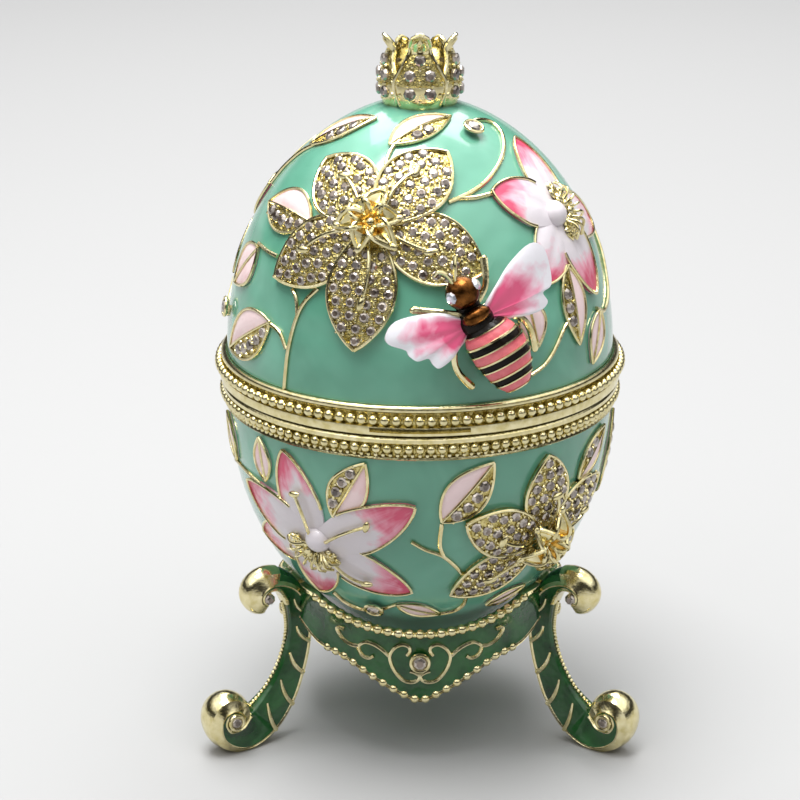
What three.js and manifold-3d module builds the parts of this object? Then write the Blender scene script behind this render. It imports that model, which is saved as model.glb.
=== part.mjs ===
// A jewelled egg trinket box: a hinged, enamelled metal egg with a crown finial and a bee,
// resting in a scrolled stand with three legs. Millimetres, +Z up, and the front faces -Y.
import * as THREE from "three";
import { mergeVertices } from "three/addons/utils/BufferGeometryUtils.js";
import Module from "manifold-3d";

const wasm = await Module();
wasm.setup();

// The egg: the seam's height above the table, and the bare enamel surface above and below it
const SEAM_Z = 74;
const EGG_RADIUS = 38.8;
const WAIST = 4; // straight stretch on each side of the seam
const LID = { rise: 52, power: 2.2, root: 1.8 };
const BOWL = { rise: 54, power: 2.2, root: 1.6 };
const WALL = 1.8;
const GAP = 0.3; // between pieces that touch
const ROUND = 32; // facets round the egg
const RINGS = 7; // facets from the waist to a pole, outside and inside
const INNER_RINGS = 4;

// The two beaded bezel rings, as radius and height from the seam, and the slot that a fingernail lifts
const LID_BEZEL_TOP = 5.8;
const BOWL_BEZEL_FOOT = -4.4;
const LID_BEZEL = [
  [36.8, 0.2], [40.2, 0.2], [40.4, 2.1], [41.2, 3.3], [40.2, 4.5], [39.6, LID_BEZEL_TOP], [36.8, LID_BEZEL_TOP],
];
const BOWL_BEZEL = [
  [35.2, BOWL_BEZEL_FOOT], [39.5, BOWL_BEZEL_FOOT], [40.6, -2.4], [39.9, -1.4], [39.9, -0.2], [36.3, -0.2],
  [36.3, 2.2], [35.2, 2.2],
];
const SLOT = { width: 14.8, height: 0.9, level: 1.4, floor: 38.9 };

// The hinge behind the seam
const HINGE = { y: 42.9, barrel: 2.2, bore: 1.1, pin: 0.8, half: 7.5, middle: 2.3, leaf: 1.9, sides: 8 };

// Relief on the shells: height above the enamel at an edge and along the middle, and depth of its root
const RELIEF = { edge: 0.7, middle: 1.2, root: 0.8 };

// Flowers and leaves, each point as [degrees round from the front, height from the seam].
// A flower has its middle, the tips of its petals and how broad they are; those behind are plainer.
const FLOWERS = {
  lid_front: { middle: [-16.5, 37.5], broad: 13,
    tips: [[-51.7, 46.5], [15.2, 48.5], [20.3, 29.3], [-18.1, 15.7], [-49.5, 26]] },
  lid_right: { middle: [58, 36.5], broad: 9.5,
    tips: [[72, 49], [30, 42.4], [40.1, 25.7], [64.2, 20.7], [92, 31]] },
  lid_left: { middle: [-120, 30], broad: 9.5, plain: true,
    tips: [[-92, 38], [-124, 45], [-150, 30], [-125, 13], [-97, 19]] },
  lid_back: { middle: [163, 33], broad: 12, plain: true,
    tips: [[163, 50], [136, 38], [146, 16], [179, 16], [189, 38]] },
  bowl_left: { middle: [-33.2, -25], broad: 9.5,
    tips: [[-42.2, -6.2], [-0.8, -14], [-2.4, -34.9], [-42, -38.5], [-64, -28.5], [-62.4, -16.5]] },
  bowl_right: { middle: [40, -24.5], broad: 10.5,
    tips: [[38.5, -6.6], [13, -18], [10.4, -35.5], [58, -32.5], [66, -16]] },
  bowl_far_left: { middle: [-120, -21], broad: 10.5, plain: true,
    tips: [[-120, -6.5], [-97, -17], [-103, -35], [-137, -35], [-143, -17]] },
  bowl_far_right: { middle: [128, -22], broad: 9.5, plain: true,
    tips: [[128, -6.2], [153, -15], [146, -35], [110, -35], [102, -15]] },
};
// A leaf has its stalk end, its tip and its breadth.
const LEAVES = {
  lid: [
    [[-18.9, 49.8], [33, 53.6], 6.5], [[-80, 47], [-44, 53.2], 6.5], [[-41, 36.5], [-73, 37], 9],
    [[-64, 29.5], [-76, 21], 8.5], [[-48, 18], [-72, 8.6], 9.5], [[52, 28], [51.6, 13], 7],
    [[66, 17.5], [58, 8.2], 6], [[33, 24], [35, 15], 6], [[112, 30], [106, 9], 8],
  ],
  bowl: [
    [[-26, -18], [-15.2, -5.8], 7.5], [[6.1, -17.7], [20.9, -6], 8.5], [[-51, -14.5], [-52.7, -5.8], 5],
    [[53, -14.5], [68, -6.4], 6], [[-71, -14.5], [-80, -6.4], 6], [[28, -40.6], [44, -37.6], 4.2],
    [[-9, -38.6], [8.5, -41.6], 4.2], [[82, -24], [85, -7], 7.5],
  ],
};
const GEM_RINGS = { lid: [[41, 51.5], [-78, 15.7]], bowl: [[-18.4, -40]] };
const GEM = { radius: 1.5, height: 1.1, sides: 6 };
const GEM_SEAT = 2.1; // radius of the raised seat round a single stone

// The crown finial: five leaves round a cup, as radius at heights above the lid's top
const CROWN = { leaves: 5, steps: 4, wall: 1.1, tip: 12, valley: 6.4, foot: -0.85, floor: 3.2,
  levels: [0, 0.36, 0.78, 1], profile: [[-0.85, 7.3], [3.6, 8.1], [7, 7.3], [9.4, 6.4], [12, 7.5]] };

// The bee: tail and head on the lid, and its parts along its own length
const BEE = { tail: [24.4, 7.4], head: [7.5, 29.6], height: 4.2 };

// The stand: the legs' middle line as distance from the axis and height, with their breadth
const LEG_TURNS = [-60, 60, 180];
const LEG_THICK = 3.8;
const LEG_LINE = [
  [34.9, 35.0], [31.2, 32.7], [29.0, 29], [28.9, 24], [29.9, 19], [31.6, 14.3], [34.3, 9.4], [38.2, 5.1],
  [43.4, 2.7],
];
const LEG_BREADTH = [4.6, 5.4, 6.0, 5.6, 5.8, 6.4, 7.4, 7.8, 7.0];
const LEG_STEPS = 10;
const UPPER_SCROLL = { at: [36.6, 33.4], radius: 4.9, width: 6.8, eye: [36.4, 32.5] };
const LOWER_SCROLL = { at: [44.3, 7.3], radius: 5.5, width: 8.0, eye: [44.9, 7.6] };
const SCROLL_SIDES = 10;
const APRON = { outer: 29.3, inner: 26.9, span: 56, steps: 8,
  top: 28.8, topRise: 3.4, tip: 14, shoulder: 25.5, reach: 42, tipRound: 3 };
const APRON_GEM_Z = 22.8;

const GOLD = { color: 0xd8b45a, metalness: 1, roughness: 0.25 };
const MINT = { color: 0x6fc9ac, metalness: 0.1, roughness: 0.2 };
const GREEN = { color: 0x1f5a37, metalness: 0.2, roughness: 0.25 };
const STONE = { color: 0xb9aabf, metalness: 0.3, roughness: 0.08 };
const ROSE = { color: 0xd9728a, metalness: 0.1, roughness: 0.25 };

const radians = THREE.MathUtils.degToRad;
const vec = (x, y, z) => new THREE.Vector3(x, y, z);

// Solids and meshes

// A closed geometry as a solid, with shared corners merged and collapsed triangles left out.
function solid(geometry) {
  const bare = new THREE.BufferGeometry().setAttribute("position", geometry.getAttribute("position"));
  bare.setIndex(geometry.index);
  const merged = mergeVertices(bare, 1e-4);
  const index = merged.index.array;
  const triVerts = [];
  for (let i = 0; i < index.length; i += 3) {
    const [a, b, c] = index.slice(i, i + 3);
    if (a !== b && b !== c && c !== a) triVerts.push(a, b, c);
  }
  const vertProperties = merged.getAttribute("position").array;
  return new wasm.Manifold(
    new wasm.Mesh({ numProp: 3, vertProperties, triVerts: new Uint32Array(triVerts) }),
  );
}

function geometryOf(shape) {
  const { numProp, numVert, vertProperties, triVerts } = shape.getMesh();
  const position = new Float32Array(numVert * 3);
  for (let i = 0; i < numVert; i++) {
    position.set(vertProperties.subarray(i * numProp, i * numProp + 3), i * 3);
  }
  const geometry = new THREE.BufferGeometry();
  geometry.setAttribute("position", new THREE.BufferAttribute(position, 3));
  geometry.setIndex(new THREE.BufferAttribute(triVerts, 1));
  geometry.computeVertexNormals();
  return geometry;
}

function fromTriangles(points, triangles) {
  const geometry = new THREE.BufferGeometry().setFromPoints(points);
  geometry.setIndex(triangles.flat());
  return solid(geometry);
}

const joined = (shapes) => shapes.reduce((all, shape) => all.add(shape));

const box = new THREE.Group();
function addMesh(name, shape, finish) {
  const mesh = new THREE.Mesh(geometryOf(shape), new THREE.MeshStandardMaterial(finish));
  mesh.name = name;
  box.add(mesh);
}

// A profile of [radius, height] turned about +Z.
function turned(profile, sides = ROUND) {
  const points = profile.map(([radius, height]) => new THREE.Vector2(radius, height));
  return solid(new THREE.LatheGeometry(points, sides).rotateX(Math.PI / 2));
}

// Two rings of corners and their two middles closed to a slab: corners turn anticlockwise seen from above.
function slab(top, bottom, topMiddle, bottomMiddle) {
  const n = top.length;
  const triangles = [];
  for (let i = 0; i < n; i++) {
    const j = (i + 1) % n;
    triangles.push([i, j, 2 * n], [n + j, n + i, 2 * n + 1], [n + i, n + j, j], [n + i, j, i]);
  }
  return fromTriangles([...top, ...bottom, topMiddle, bottomMiddle], triangles);
}

// The egg's surface

// Radius at a height from the seam; grow moves the surface outwards.
function eggRadius(height, grow = 0) {
  const half = height >= 0 ? LID : BOWL;
  const t = (Math.abs(height) - WAIST) / (half.rise + grow);
  if (t <= 0) return EGG_RADIUS + grow;
  if (t >= 1) return 0;
  return (EGG_RADIUS + grow) * (1 - t ** half.power) ** (1 / half.root);
}

const around = (degrees, radius, z) =>
  vec(radius * Math.sin(radians(degrees)), -radius * Math.cos(radians(degrees)), z);
const onEgg = ([turn, height]) => around(turn, eggRadius(height), SEAM_Z + height);

function outward(point) {
  const height = point.z - SEAM_Z;
  const step = 0.05;
  const slope = (eggRadius(height + step) - eggRadius(height - step)) / (2 * step);
  const radius = Math.hypot(point.x, point.y);
  return vec(point.x / radius, point.y / radius, -slope).normalize();
}

// The surface point that a ray from the heart of a half meets.
function alongRay(heart, towards) {
  const ray = towards.clone().sub(heart).normalize();
  let near = 0;
  let far = 2 * EGG_RADIUS;
  for (let i = 0; i < 40; i++) {
    const middle = (near + far) / 2;
    const point = heart.clone().addScaledVector(ray, middle);
    const inside = Math.hypot(point.x, point.y) < eggRadius(point.z - SEAM_Z);
    if (inside) near = middle;
    else far = middle;
  }
  return heart.clone().addScaledVector(ray, near);
}

// A patch of the surface from a stalk end to a tip: v runs along it, u across it and w stands off it.
function patch(stalk, tip) {
  const from = onEgg(stalk);
  const to = onEgg(tip);
  const heart = vec(0, 0, SEAM_Z + 2 * WAIST * Math.sign(stalk[1]));
  const origin = alongRay(heart, from.clone().lerp(to, 0.5));
  const normal = outward(origin);
  const along = to.clone().sub(from).projectOnPlane(normal).normalize();
  const across = along.clone().cross(normal);
  const flat = (u, v, w) =>
    origin.clone().addScaledVector(across, u).addScaledVector(along, v).addScaledVector(normal, w);
  const curved = (u, v, w) => {
    const point = alongRay(heart, flat(u, v, 0));
    return point.addScaledVector(outward(point), w);
  };
  return { flat, curved, length: from.distanceTo(to) };
}

// Relief: leaves, petals and seats

// Half the breadth of a leaf or a petal at a share of its length, as a part of its greatest.
const leafBreadth = (t) => Math.sin(Math.PI * t ** 0.9) ** 0.9;
const petalBreadth = (t) => Math.sin(Math.PI * (0.14 + 0.86 * t) ** 1.15) ** 0.8;

function blade(place, breadth, shape, stations) {
  const side = (sign) => stations.map((t) => [(sign * breadth * shape(t)) / 2, (t - 0.5) * place.length]);
  const outline = [[0, -place.length / 2], ...side(1), [0, place.length / 2], ...side(-1).reverse()];
  return slab(
    outline.map(([u, v]) => place.curved(u, v, RELIEF.edge)),
    outline.map(([u, v]) => place.curved(u * 0.9, v * 0.95, -RELIEF.root)),
    place.curved(0, 0, RELIEF.middle),
    place.curved(0, 0, -RELIEF.root),
  );
}

const leafBlade = ([stalk, tip, breadth]) => blade(patch(stalk, tip), breadth, leafBreadth, [0.3, 0.7]);

function petals({ middle, tips, broad, plain }) {
  const stations = plain ? [0.2, 0.65] : [0.1, 0.5, 0.8];
  return tips.map((tip) => {
    const root = [0, 1].map((k) => THREE.MathUtils.lerp(middle[k], tip[k], 0.16));
    return blade(patch(root, tip), broad, petalBreadth, stations);
  });
}

const upright = ([turn, height]) => patch([turn, height - 1], [turn, height + 1]);

function seat(at) {
  const place = upright(at);
  const corner = (i, spread, w) => {
    const angle = (2 * Math.PI * i) / 8;
    return place.curved(spread * Math.cos(angle), spread * Math.sin(angle), w);
  };
  const ring = [...Array(8).keys()];
  return slab(
    ring.map((i) => corner(i, GEM_SEAT, RELIEF.edge)),
    ring.map((i) => corner(i, GEM_SEAT, -RELIEF.root)),
    place.curved(0, 0, RELIEF.edge),
    place.curved(0, 0, -RELIEF.root),
  );
}

// The shells

function shellProfile(half, sign, rim) {
  const arc = (grow, rings) => {
    const rise = half.rise + grow;
    const start = Math.asin((Math.abs(rim) - WAIST) / rise);
    return [...Array(rings + 1).keys()].map((i) => {
      const height = sign * (WAIST + rise * Math.sin(start + ((Math.PI / 2 - start) * i) / rings));
      return [eggRadius(height, grow), height];
    });
  };
  const loop = [...arc(0, RINGS).reverse(), ...arc(-WALL, INNER_RINGS)];
  return sign > 0 ? loop.reverse() : loop;
}

function shell(part, half, sign, rim) {
  const bare = turned(shellProfile(half, sign, rim).map(([r, h]) => [r, SEAM_Z + h]));
  const flowers = Object.entries(FLOWERS).filter(([name]) => name.startsWith(part));
  const relief = [
    ...flowers.flatMap(([, flower]) => petals(flower)),
    ...LEAVES[part].map(leafBlade),
    ...GEM_RINGS[part].map(seat),
  ];
  return joined([bare, ...relief]);
}

addMesh("lid_shell", shell("lid", LID, 1, LID_BEZEL_TOP + GAP), MINT);
addMesh("bowl_shell", shell("bowl", BOWL, -1, BOWL_BEZEL_FOOT - GAP), MINT);

// The bezel rings and their hinge

function barrel(from, to) {
  const { barrel: outer, bore, sides } = HINGE;
  const ring = [[bore, from], [outer, from], [outer, to], [bore, to], [bore, from]];
  const points = ring.map(([r, h]) => new THREE.Vector2(r, h));
  const tube = new THREE.LatheGeometry(points, sides).rotateZ(-Math.PI / 2);
  return solid(tube.translate(0, HINGE.y, SEAM_Z));
}

// One knuckle: a barrel on the hinge axis and the leaf that ties it to a ring above or below the seam.
function knuckle(from, to, sign) {
  const thick = HINGE.leaf - 0.2;
  const reach = HINGE.y - LID_BEZEL[0][0] - 1;
  const leaf = new THREE.BoxGeometry(to - from, reach, thick);
  leaf.translate((from + to) / 2, HINGE.y - reach / 2, SEAM_Z + sign * (0.2 + thick / 2));
  const bore = new THREE.CylinderGeometry(HINGE.bore, HINGE.bore, to - from + 1, HINGE.sides);
  bore.rotateY(Math.PI / 2).rotateZ(-Math.PI / 2).translate((from + to) / 2, HINGE.y, SEAM_Z);
  return joined([barrel(from, to), solid(leaf)]).subtract(solid(bore));
}

function bezel(profile) {
  return turned([...profile, profile[0]].map(([r, h]) => [r, SEAM_Z + h]));
}

const nailSlot = new THREE.BoxGeometry(SLOT.width, 2 * GEM_SEAT, SLOT.height);
nailSlot.translate(0, -SLOT.floor - GEM_SEAT, SEAM_Z + SLOT.level);
const { half: hingeHalf, middle: hingeMiddle } = HINGE;
const lidRing = joined([bezel(LID_BEZEL).subtract(solid(nailSlot)), knuckle(-hingeMiddle, hingeMiddle, 1)]);
const outerKnuckles = [-1, 1].map((side) => {
  const ends = [side * (hingeMiddle + GAP), side * hingeHalf].sort((a, b) => a - b);
  return knuckle(ends[0], ends[1], -1);
});
addMesh("lid_bezel", lidRing, GOLD);
addMesh("bowl_bezel", joined([bezel(BOWL_BEZEL), ...outerKnuckles]), GOLD);

const pin = new THREE.CylinderGeometry(HINGE.pin, HINGE.pin, 2 * hingeHalf + 0.8, HINGE.sides);
addMesh("hinge_pin", solid(pin.rotateZ(Math.PI / 2).translate(0, HINGE.y, SEAM_Z)), GOLD);

// The crown finial

// Radius of the crown's outside at a height above the lid's top.
function crownRadius(height) {
  const next = Math.max(1, CROWN.profile.findIndex(([level]) => level >= height - 1e-6));
  const [[lowLevel, lowRadius], [highLevel, highRadius]] = CROWN.profile.slice(next - 1, next + 1);
  return THREE.MathUtils.mapLinear(height, lowLevel, highLevel, lowRadius, highRadius);
}

function crown() {
  const top = SEAM_Z + WAIST + LID.rise + GAP;
  const count = CROWN.leaves * CROWN.steps;
  const rows = CROWN.levels.length;
  const points = [];
  for (let i = 0; i < count; i++) {
    const turn = (360 * i) / count;
    const fromTip = Math.abs((((i + CROWN.steps / 2) % CROWN.steps) - CROWN.steps / 2) / (CROWN.steps / 2));
    const reach = THREE.MathUtils.lerp(CROWN.tip, CROWN.valley, fromTip ** 0.8);
    const heights = CROWN.levels.map((share) => THREE.MathUtils.lerp(CROWN.foot, reach, share));
    heights.forEach((height) => points.push(around(turn, crownRadius(height), top + height)));
    const inside = CROWN.levels.map((share) => THREE.MathUtils.lerp(CROWN.floor, reach, share));
    inside.forEach((height) => points.push(around(turn, crownRadius(height) - CROWN.wall, top + height)));
  }
  const at = (i, row) => (i % count) * 2 * rows + row;
  const [foot, floor] = [points.push(vec(0, 0, top)) - 1, points.push(vec(0, 0, top + CROWN.floor)) - 1];
  const triangles = [];
  for (let i = 0; i < count; i++) {
    for (let row = 0; row < rows - 1; row++) {
      const [a, b, c, d] = [at(i, row), at(i + 1, row), at(i + 1, row + 1), at(i, row + 1)];
      triangles.push([a, b, c], [a, c, d], [c + rows, b + rows, a + rows], [d + rows, c + rows, a + rows]);
    }
    const [outerA, outerB] = [at(i, rows - 1), at(i + 1, rows - 1)];
    triangles.push([outerA, outerB, outerB + rows], [outerA, outerB + rows, outerA + rows]);
    triangles.push([at(i + 1, 0), at(i, 0), foot], [at(i, rows), at(i + 1, rows), floor]);
  }
  return fromTriangles(points, triangles);
}
addMesh("crown_finial", crown(), GOLD);

// Thin rods, for stamens, legs and feelers

function rod(points, radius, steps) {
  const section = new THREE.Shape();
  section.moveTo(radius, 0);
  [[0, radius], [-radius, 0], [0, -radius]].forEach(([x, y]) => section.lineTo(x, y));
  const extrudePath = new THREE.CatmullRomCurve3(points);
  return solid(new THREE.ExtrudeGeometry(section, { steps, extrudePath }));
}

// A cluster of stamens on a small hub in the middle of a flower.
function stamens({ middle }, count) {
  const place = upright(middle);
  const hub = [...Array(6).keys()].map((i) => [Math.cos((i * Math.PI) / 3), Math.sin((i * Math.PI) / 3)]);
  const rods = [...Array(count).keys()].map((i) => {
    const angle = (2 * Math.PI * (i + 0.3)) / count;
    const line = [[0.6, 2.8], [4.4, 5.3], [8.4, 4.2 + 0.5 * (i % 2)]];
    return rod(line.map(([r, w]) => place.flat(r * Math.cos(angle), r * Math.sin(angle), w)), 0.7, 2);
  });
  const dome = slab(
    hub.map(([x, y]) => place.flat(1.5 * x, 1.5 * y, 3.5)),
    hub.map(([x, y]) => place.flat(2.4 * x, 2.4 * y, RELIEF.middle + 0.5)),
    place.flat(0, 0, 4),
    place.flat(0, 0, RELIEF.middle + 0.5),
  );
  return joined([dome, ...rods]);
}
for (const [name, flower] of Object.entries(FLOWERS)) {
  addMesh(`stamens_${name}`, stamens(flower, 4), GOLD);
}

// The bee

function bead(place, at, size, sides, rings) {
  const geometry = new THREE.SphereGeometry(1, sides, rings).scale(...size);
  const position = geometry.getAttribute("position");
  for (let i = 0; i < position.count; i++) {
    const [u, v, w] = [position.getX(i) + at[0], position.getY(i) + at[1], position.getZ(i) + at[2]];
    const point = place.flat(u, v, w);
    position.setXYZ(i, point.x, point.y, point.z);
  }
  return solid(geometry);
}

// A lobed wing, thin and lifted towards its tip.
function wing(place, side) {
  const outline = [[2.4, 4.2], [7, 7], [12.4, 8.2], [16.2, 6], [14.8, 1.6], [11.6, -1.4], [7.6, -2.2], [3, 0.4]];
  const lift = (u) => BEE.height - 0.4 + 0.14 * u;
  const level = (above) => outline.map(([u, v]) => place.flat(side * u, v, lift(u) + above));
  const [top, bottom] = [level(0.7), level(-0.1)];
  const middles = [place.flat(side * 9, 3, lift(9) + 1.3), place.flat(side * 9, 3, lift(9) - 0.1)];
  return side > 0
    ? slab(top.reverse(), bottom.reverse(), ...middles)
    : slab(top, bottom, ...middles);
}

function bee() {
  const place = patch(BEE.tail, BEE.head);
  const limbs = [-1, 1].flatMap((side) =>
    [[5.4, 9.5, 7.2, 1.9], [1.2, 7.6, -2.6, 1.5], [-1.6, 7.4, -8.4, 1.3]].map(([root, knee, foot, low]) =>
      rod(
        [
          place.flat(side * 1.6, root, BEE.height - 1),
          place.flat(side * 5.6, (root + foot) / 2, BEE.height - 0.6),
          place.flat(side * knee, foot, low),
        ],
        0.55,
        2,
      ),
    ),
  );
  const feelers = [-1, 1].map((side) =>
    rod([place.flat(side, 11, BEE.height + 1), place.flat(side * 2, 14, 5.2), place.flat(side * 3.4, 16.4, 4.2)], 0.5, 2),
  );
  return joined([
    bead(place, [0, -5, BEE.height], [5.4, 7.4, 3.6], 8, 5),
    bead(place, [0, 3.6, BEE.height + 0.4], [3.5, 3.6, 3.2], 7, 4),
    bead(place, [0, 9.2, BEE.height + 0.2], [3.2, 3.1, 2.8], 7, 4),
    wing(place, -1),
    wing(place, 1),
    ...limbs,
    ...feelers,
  ]);
}
addMesh("bee", bee(), ROSE);

// The stand

// The leg's outline: its middle line with half its breadth set off to each side.
function legShape() {
  const line = new THREE.SplineCurve(LEG_LINE.map(([x, y]) => new THREE.Vector2(x, y)));
  const breadth = new THREE.SplineCurve(LEG_BREADTH.map((b, i) => new THREE.Vector2(i, b)));
  const edge = (side) =>
    [...Array(LEG_STEPS + 1).keys()].map((i) => {
      const t = i / LEG_STEPS;
      const tangent = line.getTangent(t);
      const normal = new THREE.Vector2(-tangent.y, tangent.x);
      return line.getPoint(t).addScaledVector(normal, (side * breadth.getPoint(t).y) / 2);
    });
  return new THREE.Shape([...edge(1), ...edge(-1).reverse()]);
}

// A leg stands in a plane through the egg's axis, turned to its place.
const legFrame = (turn) =>
  new THREE.Matrix4().makeBasis(
    around(turn, 1, 0),
    vec(0, 0, 1),
    vec(-Math.cos(radians(turn)), -Math.sin(radians(turn)), 0),
  );

function scroll({ at, radius, width }) {
  const half = width / 2;
  const profile = [[0, -half], [0.84 * radius, -half], [radius, -half / 3], [radius, half / 3], [0.84 * radius, half], [0, half]];
  const points = profile.map(([r, h]) => new THREE.Vector2(r, h));
  return new THREE.LatheGeometry(points, SCROLL_SIDES).rotateX(Math.PI / 2).translate(at[0], at[1], 0);
}

function leg(turn) {
  const band = new THREE.ExtrudeGeometry(legShape(), { depth: LEG_THICK, bevelEnabled: false });
  band.translate(0, 0, -LEG_THICK / 2);
  const pieces = [band, scroll(UPPER_SCROLL), scroll(LOWER_SCROLL)];
  return joined(pieces.map((piece) => solid(piece.applyMatrix4(legFrame(turn)))));
}

// A swagged panel between two legs, dipping along the top and pointed below.
function apron(turn) {
  const points = [];
  for (let i = 0; i <= APRON.steps; i++) {
    const angle = APRON.span * ((2 * i) / APRON.steps - 1);
    const share = Math.abs(angle) / APRON.reach;
    const rounding = APRON.tipRound / APRON.reach;
    const point = Math.hypot(share, rounding) - rounding;
    const top = APRON.top + APRON.topRise * Math.min(share, 1.1) ** 2;
    const low = Math.min(APRON.tip + (APRON.shoulder - APRON.tip) * point, top - 4);
    const corner = (radius, z) => points.push(around(turn + angle, radius, z));
    corner(APRON.outer, low);
    corner(APRON.outer, top);
    corner(APRON.inner, top);
    corner(APRON.inner, low);
  }
  const triangles = [];
  for (let i = 0; i < APRON.steps; i++) {
    for (let k = 0; k < 4; k++) {
      const [a, b] = [4 * i + k, 4 * i + ((k + 1) % 4)];
      triangles.push([a, a + 4, b + 4], [a, b + 4, b]);
    }
  }
  const last = 4 * APRON.steps;
  triangles.push([0, 1, 2], [0, 2, 3], [last + 2, last + 1, last], [last + 3, last + 2, last]);
  return fromTriangles(points, triangles);
}

// The egg grown by the gap: the stand's legs are cut to its shape.
function grownEgg() {
  const heights = [...Array(2 * RINGS + 1).keys()].map((i) => {
    const angle = (Math.PI / 2) * (i / RINGS - 1);
    const half = angle < 0 ? BOWL : LID;
    return Math.sin(angle) * (half.rise + GAP) + Math.sign(angle) * WAIST;
  });
  return turned(heights.map((height) => [eggRadius(height, GAP), SEAM_Z + height]));
}

function stand() {
  const whole = joined([...LEG_TURNS.map(leg), ...LEG_TURNS.map((turn) => apron(turn + 60))]);
  const above = new THREE.BoxGeometry(4 * EGG_RADIUS, 4 * EGG_RADIUS, SEAM_Z).translate(0, 0, SEAM_Z / 2);
  return whole.intersect(solid(above)).subtract(grownEgg());
}
addMesh("stand", stand(), GREEN);

// Single stones, flat underneath, on the shells' seats, the scrolls' eyes and the aprons

function stone(origin, normal) {
  const spin = new THREE.Quaternion().setFromUnitVectors(vec(0, 0, 1), normal);
  const ring = (radius, height) =>
    [...Array(GEM.sides).keys()].map((i) => {
      const angle = (2 * Math.PI * i) / GEM.sides;
      const corner = vec(radius * Math.cos(angle), radius * Math.sin(angle), height);
      return corner.applyQuaternion(spin).add(origin);
    });
  const middle = (height) => origin.clone().addScaledVector(normal, height);
  return slab(ring(0.6 * GEM.radius, GAP + GEM.height), ring(GEM.radius, GAP), middle(GAP + GEM.height), middle(GAP));
}

for (const [part, places] of Object.entries(GEM_RINGS)) {
  places.forEach((at, i) => {
    const origin = upright(at).curved(0, 0, RELIEF.edge);
    addMesh(`stone_${part}_${i + 1}`, stone(origin, outward(origin)), STONE);
  });
}
LEG_TURNS.forEach((turn, i) => {
  const front = around(turn + 60, APRON.outer, APRON_GEM_Z);
  addMesh(`stone_apron_${i + 1}`, stone(front, around(turn + 60, 1, 0)), STONE);
  for (const [name, { eye, width }] of Object.entries({ upper: UPPER_SCROLL, lower: LOWER_SCROLL })) {
    for (const [side, sign] of [["a", 1], ["b", -1]]) {
      const origin = vec(eye[0], eye[1], (sign * width) / 2).applyMatrix4(legFrame(turn));
      const normal = vec(0, 0, sign).applyMatrix4(legFrame(turn));
      addMesh(`stone_leg_${i + 1}_${name}_${side}`, stone(origin, normal), STONE);
    }
  }
});

// The origin is on the table, under the middle of the whole object's bounds to a tenth of a millimetre.
const centre = new THREE.Box3().setFromObject(box).getCenter(vec(0, 0, 0));
box.position.set(0, -Math.round(10 * centre.y) / 10, 0);
const part = new THREE.Group();
part.add(box);

export default part;
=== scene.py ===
"""The jewelled egg trinket box, dressed: enamelled shells with flowers, leaves and set stones, a crown and a
bee on the lid, and a green scrolled stand. Shapes are worked out in millimetres about the egg's own axis."""

import random
from math import asin, copysign, cos, exp, hypot, pi, radians, sin, sqrt, tau

import bmesh
import bpy
from mathutils import Matrix, Vector


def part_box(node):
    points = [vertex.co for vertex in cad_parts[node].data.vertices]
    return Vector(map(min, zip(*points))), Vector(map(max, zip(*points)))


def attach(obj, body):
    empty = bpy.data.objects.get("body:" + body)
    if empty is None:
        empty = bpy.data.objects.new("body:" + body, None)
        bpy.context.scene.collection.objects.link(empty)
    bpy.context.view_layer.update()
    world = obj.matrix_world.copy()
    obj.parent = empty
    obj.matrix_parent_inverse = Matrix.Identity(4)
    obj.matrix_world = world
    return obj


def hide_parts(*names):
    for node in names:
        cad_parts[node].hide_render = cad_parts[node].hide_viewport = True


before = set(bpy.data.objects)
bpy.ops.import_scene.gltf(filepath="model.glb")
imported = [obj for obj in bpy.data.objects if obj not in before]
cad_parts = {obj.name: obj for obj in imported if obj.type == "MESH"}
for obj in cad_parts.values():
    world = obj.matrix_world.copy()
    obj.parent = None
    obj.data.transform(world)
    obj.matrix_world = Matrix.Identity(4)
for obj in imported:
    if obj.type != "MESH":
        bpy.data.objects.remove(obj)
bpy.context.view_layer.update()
random.seed(7)

# The egg: the seam's height, the bare enamel's radius, half the height of its straight waist, the wall, and
# the rise, power and root of each half's curve
SEAM = 74.0
RADIUS = 38.8
WAIST = 4.0
WALL = 1.8
LID = (52.0, 2.2, 1.8)
BOWL = (54.0, 2.2, 1.6)
# Each shell's edge, from the seam
LID_RIM = 6.0
BOWL_RIM = -4.6
# The hinge: its place behind the axis, the knuckles' radius and bore, half the length of the lid's knuckle,
# and the ends of one of the bowl's two
HINGE_Y = 42.9
KNUCKLE = (2.2, 1.1)
LID_KNUCKLE = 2.3
BOWL_KNUCKLE = (2.6, 7.5)
# Radii of the gold wires, and of the stones
WIRE = {"leaf": 0.32, "vein": 0.28, "petal": 0.3, "jewelled": 0.36, "stem": 0.42, "filament": 0.34,
        "tuft": 0.3, "strap": 0.48, "crown": 0.42, "limb": 0.78, "feeler": 0.4, "stripe": 0.52,
        "scroll": 0.4, "ring": 0.36}
GEM = {"leaf": 1.22, "petal": 1.08, "crown": 1.22, "bee": 1.2, "seat": 1.5, "panel": 1.55}

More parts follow.
